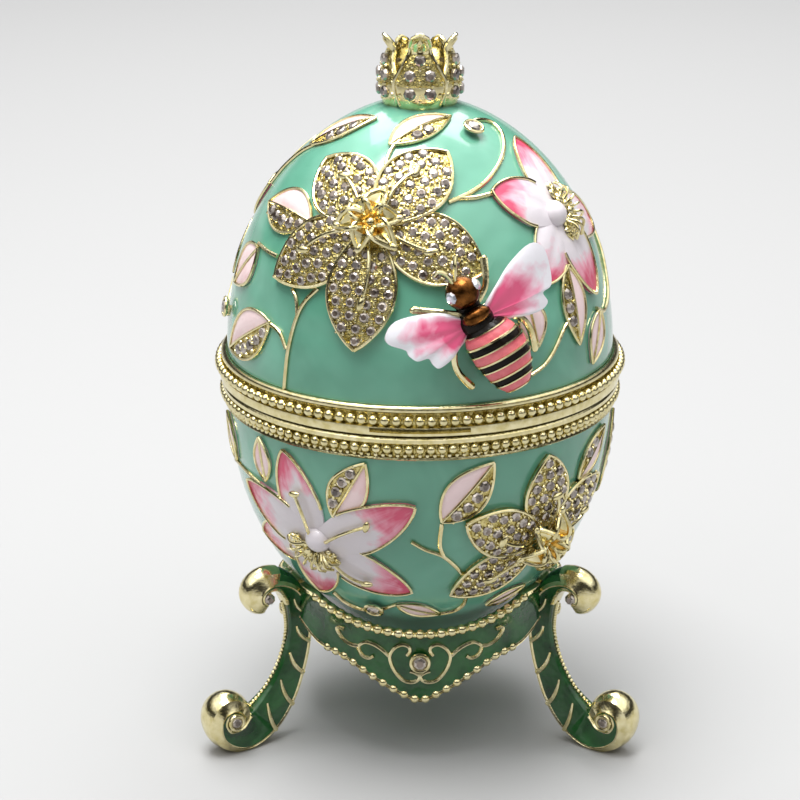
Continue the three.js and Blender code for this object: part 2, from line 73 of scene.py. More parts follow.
# Flowers: the kind, the middle, the petals' breadth and their tips. A place on the egg is its degrees round
# from the front and its height from the seam.
FLOWERS = {
    "lid_front": ("jewelled", (-16.5, 37.5), 13, [
        (-51.7, 46.5), (15.2, 48.5), (20.3, 29.3), (-18.1, 15.7), (-49.5, 26)]),
    "lid_right": ("enamel", (58, 36.5), 9.5, [
        (72, 49), (30, 42.4), (40.1, 25.7), (64.2, 20.7), (92, 31)]),
    "lid_left": ("enamel", (-120, 30), 9.5, [
        (-92, 38), (-124, 45), (-150, 30), (-125, 13), (-97, 19)]),
    "lid_back": ("jewelled", (163, 33), 12, [
        (163, 50), (136, 38), (146, 16), (179, 16), (189, 38)]),
    "bowl_left": ("enamel", (-33.2, -25), 9.5, [
        (-42.2, -6.2), (-0.8, -14), (-2.4, -34.9), (-42, -38.5), (-64, -28.5), (-62.4, -16.5)]),
    "bowl_right": ("jewelled", (40, -24.5), 10.5, [
        (38.5, -6.6), (13, -18), (10.4, -35.5), (58, -32.5), (66, -16)]),
    "bowl_far_left": ("jewelled", (-120, -21), 10.5, [
        (-120, -6.5), (-97, -17), (-103, -35), (-137, -35), (-143, -17)]),
    "bowl_far_right": ("enamel", (128, -22), 9.5, [
        (128, -6.2), (153, -15), (146, -35), (110, -35), (102, -15)]),
}
# In an enamel flower: the side its tuft is on, in degrees from the right, and the petals with a filament
THROATS = {"lid_right": (-10, ()), "lid_left": (200, (3,)), "bowl_left": (-112, (0, 1, 2)),
           "bowl_far_right": (-60, (0, 3))}
# Leaves: stalk end, tip, breadth, and what fills the left and the right half
LEAVES = {
    "lid": [
        ((-18.9, 49.8), (33, 53.6), 6.5, "rose", "stones"),
        ((-80, 47), (-44, 53.2), 6.5, "rose", "stones"),
        ((-41, 36.5), (-73, 37), 9, "stones", "rose"),
        ((-64, 29.5), (-76, 21), 8.5, "rose", "rose"),
        ((-48, 18), (-72, 8.6), 9.5, "stones", "rose"),
        ((52, 28), (51.6, 13), 7, "rose", "stones"),
        ((66, 17.5), (58, 8.2), 6, "rose", "rose"),
        ((33, 24), (35, 15), 6, "rose", "rose"),
        ((112, 30), (106, 9), 8, "rose", "stones"),
    ],
    "bowl": [
        ((-26, -18), (-15.2, -5.8), 7.5, "stones", "rose"),
        ((6.1, -17.7), (20.9, -6), 8.5, "rose", "stones"),
        ((-51, -14.5), (-52.7, -5.8), 5, "rose", "rose"),
        ((53, -14.5), (68, -6.4), 6, "stones", "rose"),
        ((-71, -14.5), (-80, -6.4), 6, "rose", "rose"),
        ((28, -40.6), (44, -37.6), 4.2, "rose", "rose"),
        ((-9, -38.6), (8.5, -41.6), 4.2, "rose", "rose"),
        ((82, -24), (85, -7), 7.5, "rose", "stones"),
    ],
}
# Stems of gold wire between the flowers and leaves
STEMS = {
    "lid": [
        [(39.2, 52.2), (56.4, 52.6), (68.8, 51.8), (64.6, 50.2), (52.5, 48.2), (40, 46), (28.9, 43.9),
         (19.4, 42.4), (11.2, 41.4)],
        [(-32, 26), (-36.1, 23.1), (-38.4, 19.4), (-40, 13.9), (-40.7, 8.9), (-41.1, 6)],
        [(-41.5, 24.9), (-39.2, 23.3), (-37.9, 20.5)],
        [(-48.7, 17.6), (-44, 16.6), (-40.8, 13.8)],
        [(-65.4, 30.2), (-57.8, 29.8), (-51.7, 29.6)],
        [(-12.8, 50.6), (-16.5, 49.5), (-17.3, 47.3), (-15, 44)],
        [(15.8, 41.9), (22.4, 41.8), (30.2, 42.1)],
        [(48.4, 18.4), (45.4, 16.9), (40.7, 13.4), (36.8, 11.2), (32.2, 9.9)],
        [(112, 30), (108, 34), (100, 34), (92.6, 31.2)],
        [(-76, 47.5), (-84, 45.4), (-90, 42), (-92.2, 38.4)],
        [(-78, 15.7), (-84, 13), (-92, 14.5), (-98, 18)],
        [(64, 18), (70, 16.6), (78, 19), (86, 25), (91.4, 30.4)],
        [(136, 37.6), (129, 37.4), (120, 34), (112, 30)],
        [(188.6, 37.6), (194, 33), (202, 29.8), (209.6, 30.2)],
        [(178.6, 16.6), (184, 11.6), (194, 9.4), (206, 10.4), (212, 14), (208, 17), (203, 15)],
    ],
    "bowl": [
        [(-2.6, -22.1), (1.5, -23.9), (6.7, -25.5), (11, -28.2), (14.9, -31.3)],
        [(6.3, -18), (5.9, -22.8), (7.3, -25.8)],
        [(-74.1, -15.4), (-60.1, -15.6), (-52.4, -16.7), (-47.1, -19.1)],
        [(-35.9, -38.4), (-33, -40.6), (-28, -41.8), (-22.6, -41.8), (-15.5, -40.6), (-9, -38.8)],
        [(17.5, -36), (17.4, -39.4), (14.3, -41.2), (8.5, -41.8)],
        [(82, -24), (90, -26), (98, -22.6), (101.8, -15.6)],
        [(152.6, -15.4), (161, -16), (171, -20), (181, -25), (191, -26.6), (202, -22.4), (216.6, -17.4)],
        [(184, -26), (179, -30), (172, -31), (168, -28), (171, -25.6), (175, -26.8)],
    ],
}
# Single stones in ring seats
SEATS = {"lid": [(41, 51.5), (-78, 15.7)], "bowl": [(-18.4, -40)]}

# The stand: the legs' turns, the height at which their feet are cut flat, and a leg's middle line from the
# upper scroll's eye to the lower one's, as distance out and height, with half its breadth, half its
# thickness and how far its back swells
LEG_TURNS = (-60.0, 60.0, 180.0)
FLOOR_GAP = 0.02
LEG = [
    (36.5, 31.2, 0.5, 2.9, 2.2), (37.6, 31.8, 0.55, 3, 2.6), (37.8, 33.2, 0.6, 3.1, 3.2),
    (36.7, 34.3, 0.7, 3.2, 3.2), (35, 34.7, 0.8, 3.1, 2.9), (33.2, 34.1, 1.1, 2.9, 2.4),
    (31.3, 32.3, 1.7, 2.5, 1.6), (29.8, 29.6, 2.2, 2, 0.8), (29, 26.4, 2.5, 1.7, 0.3),
    (28.9, 23, 2.6, 1.6, 0.15), (29.7, 18.5, 2.8, 1.5, 0.15), (31.2, 14.2, 3.1, 1.5, 0.15),
    (33.6, 9.6, 3.6, 1.6, 0.15), (37.3, 5.6, 3.9, 2.1, 0.3), (41.8, 3.2, 3.1, 3, 0.6),
    (46, 4.2, 1.7, 3.6, 1.5), (47.4, 6.9, 1.05, 3.8, 2), (46.9, 8.9, 0.8, 3.9, 2.4),
    (45.4, 9.6, 0.75, 3.9, 2.6), (43.7, 9, 0.7, 3.9, 2.3), (43.2, 7.6, 0.65, 3.8, 1.6),
    (43.8, 6.4, 0.55, 3.7, 0.9),
]
LEG_STEPS = 5
# Stretches of that line, in knots: the enamelled neck behind the upper scroll, and the beaded outer edge
NECK = (4.4, 8.4)
BEADED_EDGE = (6.6, 13.4)
EDGE_BEADS = 38
# The scrolls' eyes: place, half the scroll's thickness and the stone's radius
EYES = {"upper": ((36.4, 32.5), 3.1, 1.15), "lower": ((44.9, 7.6), 3.9, 1.25)}
# Gold strokes on a leg's sides, from their thin upper end to the leg's inner edge
STRIPES = [((30.5, 31.0), (27.3, 27.0)), ((29.8, 24.6), (27.0, 20.6)), ((31.4, 19.0), (28.4, 13.7)),
           ((33.6, 13.4), (31.0, 7.2)), ((36.9, 9.0), (35.2, 2.6))]
# A panel between two legs: its radius, half its thickness and its span each way; its upper edge's height
# and how much that rises; its point's height and its lower edge's at the reach; the stone's height; and how
# much lower that edge runs into the legs
APRON = {"radius": 28.1, "half": 1.2, "span": 58.5, "top": 28.8, "rise": 3.4, "tip": 14.0, "shoulder": 25.5,
         "reach": 42.0, "gem": 22.8, "fillet": 2.8}
# Degrees from a leg to the next panel's middle, and a panel's steps each way
PANEL = 60
APRON_STEPS = 18
# Degrees between the beads on its edges, and how many stand on each side of the middle
APRON_PITCH = 4.2
UPPER_BEADS = 11
LOWER_BEADS = 10


# Finishes

def tint(red, green, blue):
    """A colour as it looks on screen, from 0 to 255."""
    return tuple((c / 255) ** 2.2 for c in (red, green, blue)) + (1.0,)


class Value:
    """A socket of a finish, on which arithmetic adds Math nodes."""

    def __init__(self, finish, socket):
        self.finish = finish
        self.socket = socket

    def math(self, operation, *terms):
        return self.finish.node("ShaderNodeMath", {"operation": operation}, dict(enumerate(terms)))

    def __add__(self, other):
        return self.math("ADD", self, other)

    def __sub__(self, other):
        return self.math("SUBTRACT", self, other)

    def __rsub__(self, other):
        return self.math("SUBTRACT", other, self)

    def __mul__(self, other):
        return self.math("MULTIPLY", self, other)

    __radd__ = __add__
    __rmul__ = __mul__


class Nodes:
    """A node tree that is filled by one method for any node."""

    def __init__(self, tree):
        self.tree = tree

    def node(self, kind, settings=None, inputs=None, output=0):
        node = self.tree.nodes.new(kind)
        for name, value in (settings or {}).items():
            setattr(node, name, value)
        for key, value in (inputs or {}).items():
            self.plug(node.inputs[key], value)
        return Value(self, node.outputs[output])

    def plug(self, socket, value):
        if isinstance(value, Value):
            self.tree.links.new(value.socket, socket)
        else:
            socket.default_value = value

    def ramp(self, share, stops):
        colour = self.node("ShaderNodeValToRGB", inputs={"Fac": share})
        ramp = colour.socket.node.color_ramp.elements
        while len(ramp) < len(stops):
            ramp.new(1.0)
        for stop, (position, shade) in zip(ramp, stops):
            stop.position = position
            stop.color = shade
        return colour

    def part_of(self, vector, axis):
        return self.node("ShaderNodeSeparateXYZ", inputs={"Vector": vector}, output=axis)


class Finish(Nodes):
    """A procedural material with one Principled shader."""

    def __init__(self, name, constants):
        self.material = bpy.data.materials.new(name)
        self.material.use_nodes = True
        super().__init__(self.material.node_tree)
        self.shader = self.tree.nodes["Principled BSDF"]
        self.feed(constants)

    def feed(self, sockets):
        for name, value in sockets.items():
            self.plug(self.shader.inputs[name], value)

    def place(self):
        return self.node("ShaderNodeTexCoord", output="Object")

    def shares(self):
        """The piece's own map: the share across from the left edge, and along from the stalk."""
        return self.node("ShaderNodeUVMap", {"uv_map": "UVMap"})

    def streaks(self, across, along, drift=120.0):
        """Brush strokes that run along a petal and differ from one petal to the next."""
        scale = (across, along, 1.0)
        brushed = self.node("ShaderNodeMapping", inputs={"Vector": self.shares(), "Scale": scale})
        moved = self.node("ShaderNodeVectorMath", {"operation": "MULTIPLY_ADD"}, {
            0: self.place(), 1: (drift, drift, drift), 2: brushed})
        return self.node("ShaderNodeTexNoise", inputs={"Vector": moved, "Scale": 1.0, "Detail": 3.0})

    def noise(self, scale, detail=2.0, distortion=0.0):
        return self.node("ShaderNodeTexNoise", inputs={
            "Vector": self.place(), "Scale": scale, "Detail": detail, "Distortion": distortion})

    def bump(self, height, strength, distance):
        return self.node("ShaderNodeBump", inputs={
            "Height": height, "Strength": strength, "Distance": distance})


def gold_plating(name, light, dark, rough, grain=1800.0, relief=0.12):
    finish = Finish(name, {"Metallic": 1.0})
    wear = finish.noise(700.0, detail=3.0)
    finish.feed({
        "Base Color": finish.ramp(wear, [(0.3, dark), (0.7, light)]),
        "Roughness": rough + 0.12 * wear,
        "Normal": finish.bump(finish.noise(grain), relief, 0.0004),
    })
    return finish.material


def glossy_enamel(name, dark, light, scale, waves=0.25, coat=0.6, full=0.7):
    """Fired enamel: a cloudy colour under a clear gloss that isn't quite flat."""
    finish = Finish(name, {"Coat Weight": coat, "Coat Roughness": 0.06, "Specular IOR Level": 0.5 * coat})
    cloud = finish.noise(scale, detail=3.0, distortion=0.6)
    finish.feed({
        "Base Color": finish.ramp(cloud, [(0.3, dark), (full, light)]),
        "Roughness": 0.2 + 0.1 * finish.noise(2.0 * scale),
        "Normal": finish.bump(finish.noise(1.6 * scale), waves, 0.002),
    })
    return finish.material


def petal_enamel(name, pale, middle, deep, start, pull, rim=0.4):
    """Enamel that changes towards the end of a petal in blotches and brush strokes."""
    finish = Finish(name, {"Coat Weight": 0.4, "Coat Roughness": 0.08})
    along = finish.part_of(finish.shares(), "Y")
    aside = finish.part_of(finish.shares(), "X") - 0.5
    streak = finish.streaks(10.0, 1.6)
    blotch = finish.noise(190.0, detail=3.0, distortion=0.6)
    share = pull * along + rim * (aside * aside) + 0.25 * streak + 0.8 * blotch + (start - 0.52)
    finish.feed({
        "Base Color": finish.ramp(share, [(0.5, pale), (0.68, middle), (0.88, deep)]),
        "Roughness": 0.2 + 0.1 * streak,
        "Normal": finish.bump(finish.noise(300.0), 0.2, 0.0006),
    })
    return finish.material


def stone_glass(name, light, dark, rough, metallic):
    finish = Finish(name, {"Metallic": metallic, "Coat Weight": 1.0, "Coat Roughness": 0.02, "IOR": 1.7})
    fire = finish.noise(420.0)
    finish.feed({
        "Base Color": finish.ramp(fire, [(0.32, dark), (0.68, light)]),
        "Roughness": rough + 0.06 * fire,
    })
    return finish.material


GOLD = gold_plating("pale_gold", tint(238, 228, 184), tint(210, 197, 140), 0.1)
# Darker gold for the ground between set stones, the crown leaves' outer faces and the channels behind the
# bead rows: its strong grain bump is the granulated plating, its darker colour is painted shade.
SHADED_PLATE_GOLD = gold_plating("recess_gold_painted_shade", tint(222, 208, 144), tint(154, 138, 74), 0.16, grain=1500.0, relief=0.9)
INNER_GOLD = gold_plating("satin_gold", tint(232, 208, 130), tint(206, 178, 98), 0.3)
AMBER = gold_plating("amber_gold", tint(240, 198, 104), tint(204, 150, 62), 0.2)
MINT = glossy_enamel("mint_enamel", tint(86, 147, 123), tint(112, 177, 152), 45.0, waves=0.6, coat=0.8)
GREEN = glossy_enamel("green_enamel", tint(18, 58, 26), tint(42, 99, 47), 160.0, waves=0.4, full=0.75)
PETAL = petal_enamel("petal_enamel", tint(216, 209, 214), tint(226, 154, 172), tint(208, 76, 108), 0.0, 1.0)
LEAF = petal_enamel("leaf_enamel", tint(238, 212, 212), tint(232, 194, 194), tint(226, 176, 178), 0.3, 0.35)
WING = petal_enamel("wing_enamel", tint(222, 92, 130), tint(236, 164, 186), tint(236, 234, 240), 0.1, 0.92,
                    rim=0.0)
STONE = stone_glass("stone_facets", tint(206, 196, 186), tint(112, 102, 94), 0.05, 0.75)
# The stones' tables take a darker copy of the facets' glass: painted shade for the dark reflection that
# shows in a stone's middle.
PAINTED_DARK_TABLE = stone_glass("stone_tables_painted_dark", tint(144, 128, 116), tint(60, 50, 44), 0.03, 0.55)
CLEAR = stone_glass("clear_stone", tint(240, 242, 248), tint(196, 200, 214), 0.03, 0.6)
CORAL = glossy_enamel("coral_enamel", tint(216, 96, 108), tint(236, 124, 130), 300.0)
BLACK = glossy_enamel("black_enamel", tint(16, 14, 12), tint(34, 28, 24), 300.0, coat=0.15)
COPPER = gold_plating("copper_enamel", tint(130, 84, 44), tint(58, 35, 18), 0.2)


# The egg's surface

def mix(a, b, share):
    return a + (b - a) * share


def between(knots, at):
    """The value at a position, on straight lines between knots of position and value."""
    for (low, first), (high, last) in zip(knots, knots[1:]):
        if at <= high:
            return mix(first, last, (at - low) / (high - low))
    return knots[-1][1]


def egg_radius(height, grow=0.0):
    rise, power, root = LID if height >= 0 else BOWL
    share = (abs(height) - WAIST) / (rise + grow)
    if share <= 0:
        return RADIUS + grow
    return (RADIUS + grow) * max(1 - share ** power, 0.0) ** (1 / root)


def around(turn, radius, z):
    angle = radians(turn)
    return Vector((radius * sin(angle), -radius * cos(angle), z))


def outward(point):
    height = point.z - SEAM
    step = 0.05
    slope = (egg_radius(height + step) - egg_radius(height - step)) / (2 * step)
    level = Vector((point.x, point.y, 0)).normalized()
    return Vector((level.x, level.y, -slope)).normalized()


def on_egg(turn, height, lift=0.0):
    point = around(turn, egg_radius(height), SEAM + height)
    return point + outward(point) * lift


class Patch:
    """A stretch of the surface from a stalk end to a tip: u across it, v along it and w standing off it."""

    def __init__(self, stalk, tip):
        start = on_egg(*stalk)
        end = on_egg(*tip)
        self.heart = Vector((0, 0, SEAM + copysign(2 * WAIST, stalk[1])))
        self.origin = self.meet((start + end) / 2)
        self.normal = outward(self.origin)
        self.length = (end - start).length
        along = end - start
        self.along = (along - self.normal * along.dot(self.normal)).normalized()
        self.across = self.along.cross(self.normal)

    def meet(self, towards):
        """Where a ray from the half's heart leaves the egg, found by halving."""
        ray = (towards - self.heart).normalized()
        near = 0.0
        far = 2 * RADIUS
        for _ in range(26):
            middle = (near + far) / 2
            point = self.heart + ray * middle
            if hypot(point.x, point.y) < egg_radius(point.z - SEAM):
                near = middle
            else:
                far = middle
        return self.heart + ray * near

    def flat(self, u, v, w):
        return self.origin + self.across * u + self.along * v + self.normal * w

    def polar(self, r, angle, w):
        return self.flat(r * cos(angle), r * sin(angle), w)

    def curved(self, u, v, w):
        point = self.meet(self.flat(u, v, 0))
        return point + outward(point) * w


class Blade(Patch):
    """The patch under a petal or a leaf, with its breadth and the shape of its sides."""

    def __init__(self, stalk, tip, breadth, shape):
        super().__init__(stalk, tip)
        self.breadth = breadth
        self.shape = shape

    def half(self, t):
        return self.breadth * self.shape(t) / 2

    def at(self, s, t, w):
        """The point at a share s of the half breadth, a share t of the length and a height w."""
        return self.curved(s * self.half(t), (t - 0.5) * self.length, w)


def upright(turn, height):
    return Patch((turn, height - 1), (turn, height + 1))


# Mesh work

# How near points are merged, the angles past which an edge shows, and the shape of a stone of unit radius
WELD = 0.0005
CRISP = radians(38)
FACETED = radians(8)
CUT = {"table": 0.66, "crown": 0.4, "star": 0.16, "girdle": 0.25, "foot": -0.2}


def shares_of(bm):
    return bm.loops.layers.uv.get("UVMap") or bm.loops.layers.uv.new("UVMap")


def sheet(bm, columns, rows, place, paint=None):
    """A grid bent into shape: place takes its two shares to a point, and paint picks a face's finish."""
    grid = shares_of(bm)
    made = bmesh.ops.create_grid(bm, x_segments=columns, y_segments=rows, size=0.5)["verts"]
    faces = list({face for vert in made for face in vert.link_faces})
    for face in faces:
        middle = face.calc_center_median()
        if paint:
            face.material_index = paint(middle.x + 0.5, middle.y + 0.5)
        for loop in face.loops:
            loop[grid].uv = (loop.vert.co.x + 0.5, loop.vert.co.y + 0.5)
    for vert in made:
        vert.co = place(vert.co.x + 0.5, vert.co.y + 0.5)
    return made, faces


def lathe(bm, profile, columns, place, paint=None):
    """A closed or pole-to-pole profile of pairs turned full circle; place takes turn, radius and height."""
    rows = len(profile) - 1
    sheet(bm, columns, rows, lambda a, b: place(360 * a, *profile[round(b * rows)]),
          paint and (lambda a, b: paint(int(b * rows))))


def upright_lathe(bm, profile, columns, paint=None, base=SEAM, offset=0.0):
    def place(turn, radius, height):
        return around(turn + offset, radius, base + height)

    lathe(bm, profile, columns, place, paint)


def mesh_of(bm, name="stamp"):
    mesh = bpy.data.meshes.new(name)
    bm.to_mesh(mesh)
    bm.free()
    return mesh


def join(bm, part):
    mesh = mesh_of(part)
    bm.from_mesh(mesh)
    bpy.data.meshes.remove(mesh)


def stamp(bm, mesh, point, normal, size, spin=0.0):
    start = len(bm.verts)
    bm.from_mesh(mesh)
    bm.verts.ensure_lookup_table()
    turn = normal.to_track_quat("Z", "Y") @ Matrix.Rotation(spin, 3, "Z").to_quaternion()
    scale = Vector(size) if isinstance(size, tuple) else Vector((size, size, size))
    bmesh.ops.transform(bm, matrix=Matrix.LocRotScale(point, turn, scale), verts=bm.verts[start:])


def brilliant():
    """A flat-backed stone: a table, a ring of star facets, main facets and a girdle."""
    def height(face):
        return face.calc_center_median().z

    bm = bmesh.new()
    bmesh.ops.create_cone(bm, cap_ends=True, segments=8, radius1=1.0, radius2=CUT["table"],
                          depth=CUT["crown"])
    bmesh.ops.translate(bm, vec=(0, 0, CUT["girdle"] + CUT["crown"] / 2), verts=bm.verts)
    star = list(max(bm.faces, key=height).edges)
    bmesh.ops.bevel(bm, geom=star, offset=CUT["star"], segments=1, profile=0.5, affect="EDGES", material=-1)
    girdle = bmesh.ops.extrude_face_region(bm, geom=[min(bm.faces, key=height)])["geom"]
    foot = [vert for vert in girdle if isinstance(vert, bmesh.types.BMVert)]
    bmesh.ops.translate(bm, vec=(0, 0, CUT["foot"] - CUT["girdle"]), verts=foot)
    # The table takes the second finish, the darker glass of painted shade.
    max(bm.faces, key=height).material_index = 1
    return mesh_of(bm)


def ball(sides, rings):
    bm = bmesh.new()
    bmesh.ops.create_uvsphere(bm, u_segments=sides, v_segments=rings, radius=1.0)
    return mesh_of(bm)


BRILLIANT = brilliant()
BEAD = ball(9, 6)
GRAIN = ball(6, 4)


def rods(bm, lines, radius, swell=None):
    """Round wires along lines of points; swell gives the thickness at a share of the length."""
    curve = bpy.data.curves.new("wire", "CURVE")
    curve.dimensions = "3D"
    curve.bevel_depth = radius
    curve.bevel_resolution = 2
    curve.use_fill_caps = True
    for line in lines:
        spline = curve.splines.new("POLY")
        spline.points.add(len(line) - 1)
        for i, (knot, point) in enumerate(zip(spline.points, line)):
            knot.co = (*point, 1)
            knot.radius = swell(i / (len(line) - 1)) if swell else 1.0
    wire = bpy.data.objects.new("wire", curve)
    mesh = bpy.data.meshes.new_from_object(wire)
    bm.from_mesh(mesh)
    bpy.data.objects.remove(wire)
    bpy.data.curves.remove(curve)
    bpy.data.meshes.remove(mesh)


def flowing(knots, steps):
    """A smooth line through knots, which are vectors."""
    line = []
    ends = [knots[0] * 2 - knots[1], *knots, knots[-1] * 2 - knots[-2]]
    for a, b, c, d in zip(ends, ends[1:], ends[2:], ends[3:]):
        for i in range(steps):
            t = i / steps
            line.append(0.5 * (2 * b + (c - a) * t + (2 * a - 5 * b + 4 * c - d) * t ** 2
                               + (3 * b - a - 3 * c + d) * t ** 3))
    return [*line, knots[-1]]


AXIS = (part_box("hinge_pin")[0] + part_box("hinge_pin")[1]) / 2 - Vector((0, HINGE_Y / 1000, SEAM / 1000))
TO_FRAME = Matrix.Translation((AXIS.x, AXIS.y, 0)) @ Matrix.Scale(0.001, 4)


def place_in_scene(name, data):
    made = bpy.data.objects.new(name, data)
    bpy.context.scene.collection.objects.link(made)
    return made


def piece(name, bm, finishes, body, slot, nodes=()):
    """The finished bmesh as an object in the shared frame, riding on its body."""
    bmesh.ops.remove_doubles(bm, verts=bm.verts, dist=WELD)
    bmesh.ops.recalc_face_normals(bm, faces=bm.faces)
    bmesh.ops.transform(bm, matrix=TO_FRAME, verts=bm.verts)
    mesh = mesh_of(bm, name)
    for finish in finishes:
        mesh.materials.append(finish)
    mesh.shade_smooth()
    mesh.set_sharp_from_angle(angle=FACETED if slot == "stone" else CRISP)
    made = place_in_scene(name, mesh)
    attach(made, body)
    if nodes:
        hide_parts(*nodes)


# Shells

SHELL_ROWS = 36
INNER_ROWS = 24


def shell_profile(half, rim):
    """The outer curve from the rim to the pole, and the inner one back to the rim."""
    sign = copysign(1, rim)

    def arc(grow, steps):
        rise = half[0] + grow
        start = asin((abs(rim) - WAIST) / rise)
        heights = [WAIST + rise * sin(mix(start, pi / 2, i / steps)) for i in range(steps + 1)]
        return [(egg_radius(sign * height, grow), sign * height) for height in heights]

    outer = arc(0.0, SHELL_ROWS)
    return [*outer, *reversed(arc(-WALL, INNER_ROWS)), outer[0]]


def shell(name, body, half, rim, node):
    bm = bmesh.new()
    upright_lathe(bm, shell_profile(half, rim), 96, lambda row: 0 if row < SHELL_ROWS else 1)
    piece(name, bm, [MINT, INNER_GOLD], body, "mint_enamel", [node])


shell("lid_enamel", "lid", LID, LID_RIM, "lid_shell")
shell("bowl_enamel", "base", BOWL, BOWL_RIM, "bowl_shell")


# Petals and leaves

SKIRT = 1.3
LEAF_LIFT = 0.35


def leaf_breadth(t):
    return sin(pi * t ** 0.9) ** 0.9 if 0 < t < 1 else 0.0


def petal_breadth(t):
    return max(sin(pi * (0.14 + 0.86 * t) ** 1.15), 0.0) ** 0.8


def broad_petal(t):
    """Wide from the throat on, so that neighbours meet, then drawn out to a point."""
    return (0.6 + 0.5 * sin(pi / 2 * min(t / 0.45, 1.0))) * (1 - t ** 3) ** 0.8


def on_the_way(middle, tip, share):
    """A place between a flower's middle and a petal's tip."""
    return [mix(m, t, share) for m, t in zip(middle, tip)]


class Relief:
    """What stands on one half of the egg, gathered by finish."""

    def __init__(self):
        self.petals = bmesh.new()
        self.leaves = bmesh.new()
        self.gold = bmesh.new()
        self.plates = bmesh.new()
        self.stones = bmesh.new()
        self.wires = []

    def plate(self, bm, blade, height, size, low=-1.0, high=1.0):
        """A raised plate between two shares of its breadth, with its edge turned down into the shell."""
        def point(a, b):
            s = mix(low, high, a)
            return blade.at(s, b, height(s, b))

        made, _ = sheet(bm, *size, point)
        bmesh.ops.remove_doubles(bm, verts=made, dist=WELD)
        kept = {vert for vert in made if vert.is_valid}
        rim = [edge for edge in bm.edges if edge.is_boundary and kept.issuperset(edge.verts)]
        for vert in bmesh.ops.extrude_edge_only(bm, edges=rim)["geom"]:
            if isinstance(vert, bmesh.types.BMVert):
                vert.co -= outward(vert.co) * SKIRT

    def outline(self, blade, lift, radius, shares=(-1.0, 1.0), first=0.0):
        """Wires along shares of a plate's breadth, from a share of its length to the tip."""
        steps = 18
        lengths = [mix(first, 1.0, i / steps) for i in range(steps + 1)]
        self.wires.append(([[blade.at(s, t, lift) for t in lengths] for s in shares], radius))

    def pave(self, blade, height, radius, first, low=-1.0, high=1.0):
        """Rows of stones across a plate, from a distance along it, with grains of gold round them."""
        pitch = 2.36 * radius
        step = 0.9 * pitch
        margin = 1.2 * radius
        rows = int((blade.length - first - margin) / step)
        for row in range(rows + 1):
            v = first + row * step - blade.length / 2
            t = v / blade.length + 0.5
            half = blade.half(t)
            left = low * half + margin
            right = high * half - margin
            if right < left - 0.45 * radius:
                continue
            count = max(int((right - left) / pitch + 1e-6), 0) + 1
            spread = min((right - left) / (count - 1), 1.15 * pitch) if count > 1 else pitch
            for k in range(count):
                u = (left + right) / 2 + (k - (count - 1) / 2) * spread
                base = blade.curved(u, v, height(u / max(half, 0.1), t) - 0.1)
                size = radius * random.uniform(0.94, 1.03)
                stamp(self.stones, BRILLIANT, base, outward(base), size, random.random())
                for turn in (0.6, 1.8, 3.5, 4.9):
                    reach = radius * random.uniform(1.18, 1.4)
                    angle = turn + random.uniform(-0.4, 0.4)
                    du, dv = reach * cos(angle), reach * sin(angle)
                    if low * half + 0.3 < u + du < high * half - 0.3:
                        grain = blade.curved(u + du, v + dv, height((u + du) / half, t) + 0.15)
                        stamp(self.gold, GRAIN, grain, outward(grain), random.uniform(0.3, 0.46))

    def leaf(self, stalk, tip, breadth, left, right):
        blade = Blade(stalk, tip, breadth, leaf_breadth)

        def puffed(s, t):
            return LEAF_LIFT + 0.35 * sin(pi * abs(s)) * sin(pi * t)

        def level(s, t):
            return LEAF_LIFT

        for fill, low, high in ((left, -1.0, 0.0), (right, 0.0, 1.0)):
            if fill == "rose":
                self.plate(self.leaves, blade, puffed, (5, 14), low, high)
            else:
                self.plate(self.plates, blade, level, (3, 14), low, high)
                self.pave(blade, level, GEM["leaf"], 2.8, low, high)
        self.outline(blade, LEAF_LIFT + 0.1, WIRE["leaf"])
        self.outline(blade, LEAF_LIFT + 0.15, WIRE["vein"], (0.0,))

    def enamel_flower(self, middle, breadth, tips):
        for i, tip in enumerate(tips):
            blade = Blade(on_the_way(middle, tip, 0.08), tip, breadth, broad_petal)
            rise = 0.4 + 0.3 * (i % 2)

            def cupped(s, t):
                fold = -0.22 * exp(-(s / 0.16) ** 2) * sin(pi * t)
                return rise + 0.5 * (1 - s * s) * sin(pi * min(t + 0.1, 1.0)) + fold

            self.plate(self.petals, blade, cupped, (12, 18))
            self.outline(blade, rise + 0.12, WIRE["petal"], first=0.3)

    def jewelled_flower(self, middle, breadth, tips):
        for i, tip in enumerate(tips):
            blade = Blade(on_the_way(middle, tip, 0.1), tip, breadth, petal_breadth)
            rise = 0.6 + 0.35 * (i % 2)

            def domed(s, t):
                return rise + 0.6 * (1 - s * s) * sin(pi * t)

            self.plate(self.plates, blade, domed, (8, 14))
            self.pave(blade, domed, GEM["petal"], 3.0)
            self.outline(blade, rise + 0.3, WIRE["jewelled"])

    def stem(self, way):
        knots = [on_egg(turn, height, 0.25) for turn, height in way]
        self.wires.append(([flowing(knots, 6)], WIRE["stem"]))

    def finish(self, part, body):
        for lines, radius in self.wires:
            rods(self.gold, lines, radius)
        piece(f"{part}_petals", self.petals, [PETAL], body, "mint_enamel")
        piece(f"{part}_leaves", self.leaves, [LEAF], body, "mint_enamel")
        piece(f"{part}_gold_relief", self.gold, [GOLD], body, "gold")
        # The plates' darker gold is painted shade between the stones.
        piece(f"{part}_jewelled_plates", self.plates, [SHADED_PLATE_GOLD], body, "gold")
        # The stones' second finish is the darker table glass, painted shade.
        piece(f"{part}_pave_stones", self.stones, [STONE, PAINTED_DARK_TABLE], body, "stone")


BODY = {"lid": "lid", "bowl": "base"}


def flowers_of(part):
    return [(name, *flower) for name, flower in FLOWERS.items() if name.startswith(part)]


